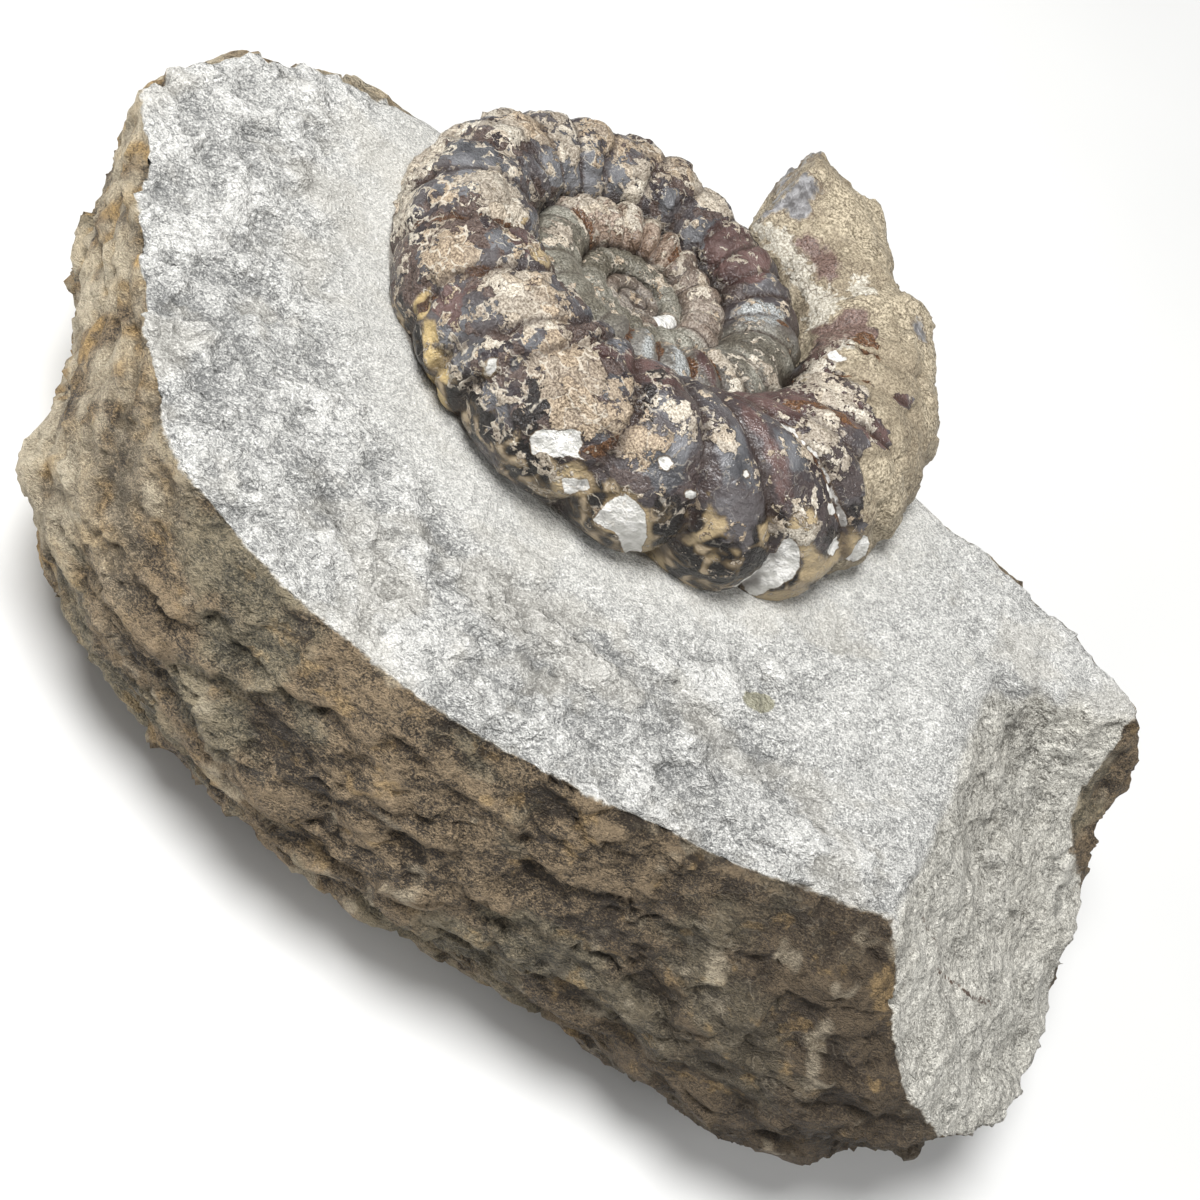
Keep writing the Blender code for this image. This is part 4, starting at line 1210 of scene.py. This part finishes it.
def stone_finish(grain, ragged, ledges, settings):
    material, w, shader, place = new_material("nodule_stone")
    level = w.mapped(place, (0.75, 1.0, 1.0), math.radians(-24.0))
    fine = w.group(grain, Vector=level, Size=0.17)
    middle = w.group(grain, Vector=level, Size=0.48)
    cloud = w.group(grain, Vector=level, Size=1.6)
    relief_layer, knapped = w.layer("relief"), w.layer("knapped")
    steps = w.group(ledges, Vector=level, Size=3.4, Count=7.0)

    def tone_of(name, share):
        return w.mix(share, *STONE_TONES[name])

    def laid(colour, tint, mask, strength):
        """A tint over the colour where the mask is."""
        return w.mix(w.times(mask, strength), colour, STONE_TINTS[tint])

    # Split face: fine pale grain, with painted shade, darker and bluer, in its dents and under its ledges
    stained = w.times(w.layer("stain"), w.band(cloud["Speckle"], 0.0, 1.0, 0.17, 0.07))
    # painted shade: the relief heights and the ledges' hollows darken the face's colour
    face_grain_and_shade = w.total((fine["Speckle"], 0.54), (middle["Speckle"], 0.26), (cloud["Speckle"], 0.12),
                   (w.noise(place, 12.0, 3.0), 0.22), (w.times(relief_layer, knapped), 0.24),
                   (stained, -1.0), (w.times(steps["Hollow"], knapped), -0.26))
    face = w.mix(w.band(face_grain_and_shade, 0.0, 1.04), settings["face_dark"], settings["face_light"])
    face = w.mix(w.band(cloud["Cloud"], 0.55, 0.95, 0.0, 0.28), face, STONE_TINTS["chalk"])
    near = w.rest(w.band(w.layer("near_shell"), 0.5, 10.0))
    cleaned = w.times(near, w.band(fine["Speckle"], 0.0, 1.0, 0.30, 0.60))
    face = w.mix(cleaned, face, settings["face_near"])
    # painted contact shade on the face along the coil
    face = laid(face, "contact shade", w.rest(w.band(w.layer("near_shell"), 0.05, 0.45)), 0.7)
    lens = w.group(ragged, Level=w.layer("lens"), Torn=middle["Speckle"], Tear=0.3, Soft=0.3)
    face = w.mix(w.times(lens["Mask"], 0.95), face, tone_of("lens", fine["Speckle"]))
    # painted highlight on the ledge lips of the broken end
    break_grain_and_highlight = w.total((face_grain_and_shade, 1.08), (steps["Lip"], 0.15))
    face = w.mix(w.times(w.layer("broken"), 0.8), face, tone_of("break", break_grain_and_highlight))
    crack_line = w.plus(w.layer("crack"), w.times(middle["Speckle"], 0.30))
    face = laid(face, "crack", w.rest(w.band(crack_line, 0.20, 0.50)), 0.9)

    # Weathered rind: stacked plates of brown and olive, painted highlight on lips, painted shade in hollows,
    # ochre
    bed = w.mapped(place, (0.7, 0.7, 1.25))
    plate = w.group(grain, Vector=bed, Size=2.2)
    wide_steps = w.group(ledges, Vector=bed, Size=4.6, Count=8.0)
    # painted shade: the relief heights and the hollows under the ledges darken the rind, over fine grain
    shade = w.total((fine["Speckle"], 0.60), (middle["Speckle"], 0.32), (plate["Speckle"], 0.36),
                    (relief_layer, 0.38), (wide_steps["Hollow"], -0.20))
    rind = w.mix(w.band(shade, 0.16, 1.12), settings["rind_dark"], settings["rind_light"])
    rind = w.mix(w.band(plate["Cloud"], 0.50, 0.90, 0.0, 0.55), rind, tone_of("olive", shade))
    east, north, _ = w.parts("ShaderNodeSeparateXYZ", place)
    dark_end = w.times(w.band(east, -0.005, 0.040, 0.0, 0.68), w.band(north, 0.0, -0.012))
    rind = w.mix(dark_end, rind, STONE_TINTS["dark end"])
    # painted highlight along the ledges' lips
    rind = laid(rind, "lip", w.times(wide_steps["Lip"], w.band(plate["Cloud"], 0.25, 0.75)), 0.22)
    left_end = w.band(east, -0.058, -0.034, 1.0, 0.0)
    spots = w.noise(bed, 3.4, 3.0, 0.62)
    more_spots = w.times(w.band(spots, 0.42, 0.60), left_end, 0.75)
    ochre_share = w.plus(w.band(spots, 0.58, 0.68, 0.0, 0.40), more_spots, clamp=True)
    rind = w.mix(ochre_share, rind, w.mix(shade, STONE_TINTS["ochre"], settings["ochre"]))
    pale = w.noise(place, 6.0, 2.0, 0.6)
    more_pale = w.times(w.band(pale, 0.38, 0.54), left_end, 0.85)
    pale_share = w.plus(w.band(pale, 0.60, 0.70, 0.0, 0.5), more_pale, clamp=True)
    rind = w.mix(pale_share, rind, tone_of("skin", shade))

    patch = w.group(ragged, Level=w.layer("rind"), Torn=w.noise(place, 1.3, 3.0, 0.62), Tear=0.7, Soft=0.0)
    colour = laid(w.mix(patch["Mask"], face, rind), "rind edge", patch["Edge"], 0.40)
    w.put(shader.inputs["Base Color"], colour)
    w.put(shader.inputs["Roughness"],
          w.blend(patch["Mask"], w.band(face_grain_and_shade, 0.1, 0.9, 0.90, 0.70), w.band(shade, 0.1, 0.9, 0.60, 0.85)))
    face_bumps = w.total((fine["Speckle"], 0.22), (middle["Speckle"], 0.24), (steps["Height"], knapped))
    rind_bumps = w.total((fine["Speckle"], 0.28), (middle["Speckle"], 0.30), (wide_steps["Height"], 0.85))
    bump(w, shader, w.blend(patch["Mask"], face_bumps, rind_bumps), settings["grain_depth"])
    return material


def shell_finish(grain, ragged, settings):
    material, w, shader, place = new_material("fossil_shell")
    drift = w.noise(place, 1.5, 1.0, output="Color")
    shift = w.add("ShaderNodeVectorMath", operation="MULTIPLY_ADD")
    for socket, value in zip(shift.inputs, (drift, (1.8 * MM,) * 3, place)):
        w.put(socket, value)
    bent = shift.outputs[0]
    speck = w.group(grain, Vector=place, Size=0.22)
    cloud = w.group(grain, Vector=place, Size=1.1)
    flaky, inner = w.layer("flaky"), w.layer("inner")
    torn = w.noise(bent, 1.3, 3.0, 0.62)

    # Peeled flakes: each has its own shade, and its own chance to be lost
    luck, flake_shade, _ = w.parts("ShaderNodeSeparateColor", w.cells(bent, 1.9, "F1", "Color"))
    flake_rim = w.cells(bent, 1.9)

    def tone_of(name, mask=speck["Speckle"]):
        return w.mix(mask, *SHELL_TONES[name])

    def patch_of(name, tear, soft):
        return w.group(ragged, Level=w.layer(name), Torn=torn, Tear=tear, Soft=soft)

    def laid(finish, mask, tint, gloss):
        """A finish, its colour and roughness, over those before it."""
        return w.mix(mask, finish[0], tint), w.blend(mask, finish[1], GLOSS[gloss])

    def tinted(finish, mask, strength, tint):
        """The same roughness, with a tint where the mask is."""
        return w.mix(w.times(mask, strength), finish[0], SHELL_TINTS[tint]), finish[1]

    # Bare shell: dark, with smoky and brown flakes
    finish = (w.mix(cloud["Cloud"], settings["shell_dark"], settings["shell_light"]),
              w.band(cloud["Cloud"], 0.0, 1.0, 0.14, 0.27))
    pick = w.total((luck, 0.55), (cloud["Cloud"], 0.45))
    smoky, mauve = (w.times(w.band(pick, low, high), flaky) for low, high in ((0.60, 0.64), (0.40, 0.36)))
    finish = laid(finish, smoky, tone_of("smoke", cloud["Speckle"]), "smoke")
    finish = laid(finish, mauve, tone_of("mauve"), "mauve")

    # Inner whorls: greenish grey, then brown knobs
    moss, knobs = (w.mix(cloud["Cloud"], tone_of(name + ", dark"), tone_of(name + ", light"))
                   for name in ("moss", "knob"))
    colour = w.mix(w.times(w.layer("moss"), 0.95), finish[0], moss)
    finish = w.mix(w.layer("knobs"), colour, knobs), w.blend(w.times(inner, 0.6), finish[1], GLOSS["inner"])

    soft = w.times(w.rest(flaky), 0.9)
    slate, plum, black = (patch_of(name, tear, soft)
                          for name, tear in (("slate", 2.4), ("plum", 1.8), ("black", 3.0)))
    smoke = w.mix(inner, tone_of("slate", cloud["Cloud"]), tone_of("inner slate"))
    finish = laid(finish, slate["Mask"], smoke, "slate")
    finish = laid(finish, plum["Mask"], tone_of("plum", cloud["Cloud"]), "plum")
    finish = laid(finish, black["Mask"], tone_of("black"), "black")

    # Mottled rim: caramel clouds in black, and golden drops on the left
    dabs = w.noise(place, 2.5, 1.5, 0.45, 0.8)
    caramel = tone_of("caramel", w.band(dabs, 0.54, 0.66))
    mottled = w.mix(w.band(dabs, 0.46, 0.57), SHELL_TINTS["rim"], caramel)
    finish = laid(finish, patch_of("rim", 5.0, 1.2)["Mask"], mottled, "rim")
    core = w.band(w.layer("amber"), -0.1, 0.7)
    golden = w.times(w.band(w.layer("turn"), -100.0, -104.0), w.band(w.layer("place"), 70.0, 50.0))
    drops = w.mix(w.times(golden, core), tone_of("amber", core), SHELL_TINTS["gold"])
    finish = laid(finish, patch_of("amber", 1.0, 0.4)["Mask"], drops, "amber")

    # Crust: cream and tan flakes with dark outlines
    cream_depth, crust_depth = w.layer("cream"), w.layer("crust")
    deep = w.band(w.math("MAXIMUM", cream_depth, crust_depth), -2.4, 1.6, 0.0, 0.34)
    bias = w.plus(deep, w.times(flaky, 0.10))
    chipped = w.minus(w.noise(place, 1.1, 3.0, 0.70), 0.5)
    chipped = w.plus(chipped, w.times(w.minus(luck, 0.5), 0.26))
    depth = w.times(w.plus(chipped, w.minus(bias, 0.185)), 9.0)
    crust = w.band(depth, -0.05, 0.10)
    creamy = w.plus(w.band(w.minus(cream_depth, crust_depth), -2.0, 2.0),
                    w.minus(w.times(flake_shade, 1.3), 0.70), clamp=True)
    tint = w.mix(creamy, tone_of("tan"), tone_of("cream"))
    tint = w.mix(w.times(w.band(flake_shade, 0.50, 0.75), 0.6), tint, tone_of("brown crust"))
    cracks = w.times(w.rest(w.band(flake_rim, 0.010, 0.085)), w.band(chipped, 0.06, -0.06, 0.10, 0.60))
    tint = w.mix(cracks, tint, SHELL_TINTS["crust crack"])
    finish = tinted(finish, w.rest(w.band(w.math("ABSOLUTE", depth), 0.05, 0.30)), 0.7, "crust outline")
    finish = laid(finish, crust, tint, "crust")

    # Stone that fills the body chamber, with scraps of shell left on it
    filling = patch_of("chamber", 2.6, 0.0)
    bare = w.rest(filling["Mask"])
    grains = w.group(grain, Vector=place, Size=0.30)["Speckle"]
    tint = w.mix(grains, settings["chamber_dark"], settings["chamber_light"])
    tint = w.mix(w.band(cloud["Cloud"], 0.30, 0.80, 0.0, 0.85), tint, tone_of("brown filling"))
    tint = w.mix(patch_of("pale", 4.5, 0.3)["Mask"], tint, tone_of("pale filling", grains))
    scores = w.times(w.rest(w.band(flake_rim, 0.006, 0.05)), w.band(luck, 0.45, 0.55), 0.65)
    tint = w.mix(scores, tint, SHELL_TINTS["filling score"])
    finish = tinted(finish, filling["Edge"], 0.6, "filling edge")
    finish = laid(finish, filling["Mask"], tint, "filling")
    outer = w.band(w.layer("turn"), 10.0, 30.0)
    for name, patch, mask in (("slate scrap", slate, cloud["Speckle"]),
                              ("plum scrap", plum, speck["Speckle"])):
        finish = tinted(finish, w.times(patch["Edge"], outer), 0.6, "scrap edge")
        finish = laid(finish, w.times(patch["Mask"], outer), tone_of(name, mask), name)

    finish = laid(finish, patch_of("rust", 1.2, 0.0)["Mask"], tone_of("rust"), "rust")
    white = patch_of("white", 0.55, 0.0)
    finish = tinted(finish, white["Edge"], 0.6, "white edge")
    finish = laid(finish, white["Mask"], tone_of("white", cloud["Speckle"]), "white")

    # Pale flake rims with painted highlight, painted shade in the grooves and where one whorl meets the next
    # pale rims of curled flakes, with painted highlight
    rim_highlight = w.times(w.band(flake_rim, 0.070, 0.030), w.band(luck, 0.35, 0.50), flaky,
                   w.band(cloud["Speckle"], 0.35, 0.60), bare)
    finish = tinted(finish, rim_highlight, 0.85, "flake rim highlight")
    # painted shade in the rib grooves, less on the filling
    groove_shade = w.rest(w.band(w.layer("groove"), w.blend(inner, 0.3, 0.05), w.blend(inner, 2.2, 2.0)))
    groove_shade = w.times(groove_shade, w.rest(w.times(filling["Mask"], 0.85)),
                   w.band(cloud["Cloud"], 0.0, 0.6, 0.35, 1.0))
    finish = tinted(finish, groove_shade, w.blend(inner, 0.70, 0.85), "groove_shade")
    round_section = w.layer("place")
    # painted shade in the crease where one whorl meets the next
    crease_shade = w.math("MAXIMUM", w.band(round_section, 136.0, 156.0),
                  w.times(inner, w.band(round_section, 60.0, 44.0)))
    crease_shade = w.times(crease_shade, w.rest(w.times(filling["Mask"], 0.7)))
    colour, roughness = tinted(finish, crease_shade, w.band(cloud["Cloud"], 0.0, 0.8, 0.9, 0.45), "crease_shade")
    w.put(shader.inputs["Base Color"], colour)
    w.put(shader.inputs["Roughness"], roughness)

    # Relief finer than the mesh: flakes stand a little proud, each by its own amount
    height = w.total((speck["Speckle"], w.blend(flaky, 0.08, 0.26)), (flake_shade, w.times(flaky, 0.30)),
                     (cloud["Speckle"], w.blend(flaky, 0.30, 0.75)), (crust, 0.55))
    bump(w, shader, height, settings["flake_depth"], 0.95)
    return material


def plain_finish(name, colour, roughness):
    material, w, shader, place = new_material(name)
    shader.inputs["Roughness"].default_value = roughness
    soft = w.band(w.noise(place, 60.0, 2.0), 0.3, 0.7)
    w.put(shader.inputs["Base Color"], w.mix(soft, colour, tuple(0.97 * c for c in colour)))
    return material


# Settings, pieces and stage

def colour_setting(name, description, default):
    return FloatVectorProperty(name=name, description=description, default=default, size=3, min=0.0,
                               max=1.0, subtype="COLOR")


class StoneSettings(bpy.types.PropertyGroup):
    """Sizes and colours of the stone."""
    cell: FloatProperty(name="Surface cell", description="Length of the stone's mesh cells",
                        default=0.00064, min=0.0003, unit="LENGTH")
    roughening: FloatProperty(name="Roughening", description="Strength of ledges and grain",
                              default=1.0, min=0.0, subtype="FACTOR")
    grain_depth: FloatProperty(name="Grain depth", description="Depth of the fine grain in millimetres",
                               default=0.60)
    face_dark: colour_setting("Face, dark grains", "Darker grains of the split face", (0.205, 0.207, 0.202))
    face_light: colour_setting("Face, light grains", "Lighter grains of the split face", (0.91, 0.90, 0.86))
    face_near: colour_setting("Face near the coil", "Cleaned face round the coil", (0.68, 0.665, 0.615))
    rind_dark: colour_setting("Rind, dark", "Hollows of the weathered side", (0.026, 0.018, 0.011))
    rind_light: colour_setting("Rind, light", "Raised parts of the weathered side", (0.30, 0.222, 0.135))
    ochre: colour_setting("Ochre", "Iron stains of the weathered side", (0.55, 0.37, 0.16))


class ShellSettings(bpy.types.PropertyGroup):
    """Fineness and colours of the ammonite."""
    steps: IntProperty(name="Steps", description="Sections along the coil", default=735, min=100)
    top_columns: IntProperty(name="Columns", description="Points over the visible part of a section",
                             default=108)
    under_columns: IntProperty(name="Hidden columns", description="Points under a section", default=16)
    flake_depth: FloatProperty(name="Flake depth", description="Depth of flakes in millimetres",
                               default=0.30)
    shell_dark: colour_setting("Shell, dark", "Dark tone of the shell", (0.032, 0.024, 0.026))
    shell_light: colour_setting("Shell, light", "Light tone of the shell", (0.104, 0.093, 0.094))
    chamber_dark: colour_setting("Filling, dark", "Dark tone of the chamber's stone", (0.175, 0.142, 0.092))
    chamber_light: colour_setting("Filling, light", "Light tone of the chamber's stone", (0.60, 0.515, 0.375))


class StageSettings(bpy.types.PropertyGroup):
    """Floor, lights and camera."""
    floor_size: FloatProperty(name="Floor", description="Side of the floor", default=4.0, unit="LENGTH")
    floor_colour: colour_setting("Floor colour", "Colour of the floor", (0.72, 0.72, 0.71))
    key_power: FloatProperty(name="Key light", description="Power of the key light", default=5.75,
                             unit="POWER")
    sky: FloatProperty(name="Surroundings", description="Brightness of the surroundings", default=0.20)
    lens: FloatProperty(name="Lens", description="Focal length of the camera", default=62.77, unit="CAMERA")


def values_of(group):
    """The settings of a group as plain numbers and tuples."""
    found = {}
    for key in group.bl_rna.properties.keys():
        if key not in ("rna_type", "name"):
            value = getattr(group, key)
            found[key] = value if isinstance(value, (int, float)) else tuple(value)
    return found


def shared_group(name, build):
    return bpy.data.node_groups.get(name) or build()


class FOSSIL_OT_add_stone(bpy.types.Operator):
    """Add the split stone, with its grey face, brown rind and broken end"""
    bl_idname = "fossil.add_stone"
    bl_label = "Add stone"

    def execute(self, context):
        settings = values_of(context.scene.fossil_stone)
        piece = sheet_of_points("stone", stone_rows(), 1e-6)
        apply_modifier(piece, "REMESH", mode="VOXEL", voxel_size=settings["cell"], adaptivity=0.0)
        rough_stone(piece, settings["roughening"])
        grain = shared_group("Mineral grain", mineral_grain_group)
        ragged = shared_group("Ragged patch", ragged_patch_group)
        ledges = shared_group("Ledges", ledges_group)
        surface(piece, stone_finish(grain, ragged, ledges, settings))
        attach(piece, "root")
        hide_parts("matrix")
        return {"FINISHED"}


class FOSSIL_OT_add_ammonite(bpy.types.Operator):
    """Add the coiled shell with its ribs, crusts and body chamber"""
    bl_idname = "fossil.add_ammonite"
    bl_label = "Add ammonite"

    def execute(self, context):
        settings = values_of(context.scene.fossil_shell)
        counts = (settings[key] for key in ("steps", "top_columns", "under_columns"))
        rows, angles, places = coil_rows(*counts)
        piece = sheet_of_points("ammonite_shell", rows, 1e-5, turn=angles, place=places)
        finish_coil(piece)
        grain = shared_group("Mineral grain", mineral_grain_group)
        ragged = shared_group("Ragged patch", ragged_patch_group)
        surface(piece, shell_finish(grain, ragged, settings))
        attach(piece, "root")
        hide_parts("ammonite")
        return {"FINISHED"}


# The camera of the view: its place in the block's frame, and its right, up and back directions
CAMERA_PLACE = (-19.8, -146.4, 164.9)
CAMERA_RIGHT = (0.7999, 0.4110, 0.4373)
CAMERA_UP = (-0.5785, 0.7217, 0.3800)
CAMERA_BACK = (-0.1594, -0.5570, 0.8151)

# Soft boxes: name, shares of the view's right, up and back towards the lamp, distance, size, power share
LAMPS = (
    ("key", (0.12, 0.46, 0.86), 0.60, 0.24, 0.88),
    ("fill", (0.75, -0.30, 0.60), 0.80, 0.60, 0.34),
    ("left", (-0.90, 0.20, 0.42), 0.75, 0.40, 0.60),
)
LAMP_TARGET = (0.0, 0.0, 0.030)


class FOSSIL_OT_add_stage(bpy.types.Operator):
    """Add the floor, the soft lights and the camera"""
    bl_idname = "fossil.add_stage"
    bl_label = "Add stage"

    def execute(self, context):
        settings = values_of(context.scene.fossil_stage)
        deselect()
        bpy.ops.mesh.primitive_plane_add(size=settings["floor_size"], location=(0.0, 0.0, 0.0))
        floor = context.active_object
        floor.name = "floor"
        floor.data.materials.append(plain_finish("pale_floor", settings["floor_colour"], 0.8))

        right, up, back = (Vector(v) for v in (CAMERA_RIGHT, CAMERA_UP, CAMERA_BACK))
        target = Vector(LAMP_TARGET)
        for name, (to_right, to_up, to_back), distance, size, share in LAMPS:
            direction = (right * to_right + up * to_up + back * to_back).normalized()
            bpy.ops.object.light_add(type="AREA", location=target + direction * distance)
            lamp = context.active_object
            lamp.name = name + "_light"
            lamp.data.shape = "DISK"
            lamp.data.size = size
            lamp.data.energy = settings["key_power"] * share
            lamp.rotation_euler = direction.to_track_quat("Z", "Y").to_euler()

        bpy.ops.object.camera_add()
        camera = context.active_object
        camera.name = "photo_camera"
        camera.data.lens = settings["lens"]
        camera.data.sensor_width = 36.0
        camera.data.clip_start, camera.data.clip_end = 0.01, 10.0
        turn = Matrix((right, up, back)).transposed().to_4x4()
        camera.matrix_world = Matrix.Translation(block_to_world() @ Vector(CAMERA_PLACE)) @ turn
        context.scene.camera = camera

        world = bpy.data.worlds.new("studio")
        world.use_nodes = True
        background = world.node_tree.nodes["Background"]
        background.inputs["Color"].default_value = (1.0, 1.0, 1.0, 1.0)
        background.inputs["Strength"].default_value = settings["sky"]
        context.scene.world = world
        context.scene.view_settings.view_transform = "Standard"
        return {"FINISHED"}


class FOSSIL_PT_pieces(bpy.types.Panel):
    """Sizes and colours, and a button for each piece"""
    bl_label = "Fossil"
    bl_idname = "FOSSIL_PT_pieces"
    bl_space_type = "VIEW_3D"
    bl_region_type = "UI"
    bl_category = "Fossil"

    def draw(self, context):
        for group, operator in (("fossil_stone", FOSSIL_OT_add_stone),
                                ("fossil_shell", FOSSIL_OT_add_ammonite),
                                ("fossil_stage", FOSSIL_OT_add_stage)):
            settings = getattr(context.scene, group)
            column = self.layout.column()
            for key in values_of(settings):
                column.prop(settings, key)
            column.operator(operator.bl_idname)


CLASSES = (StoneSettings, ShellSettings, StageSettings, FOSSIL_OT_add_stone, FOSSIL_OT_add_ammonite,
           FOSSIL_OT_add_stage, FOSSIL_PT_pieces)


def register():
    for cls in CLASSES:
        bpy.utils.register_class(cls)
    bpy.types.Scene.fossil_stone = PointerProperty(type=StoneSettings)
    bpy.types.Scene.fossil_shell = PointerProperty(type=ShellSettings)
    bpy.types.Scene.fossil_stage = PointerProperty(type=StageSettings)


def unregister():
    del bpy.types.Scene.fossil_stone, bpy.types.Scene.fossil_shell, bpy.types.Scene.fossil_stage
    for cls in reversed(CLASSES):
        bpy.utils.unregister_class(cls)


def main():
    register()
    bpy.ops.fossil.add_stone()
    bpy.ops.fossil.add_ammonite()
    bpy.ops.fossil.add_stage()


if __name__ == "__main__":
    main()
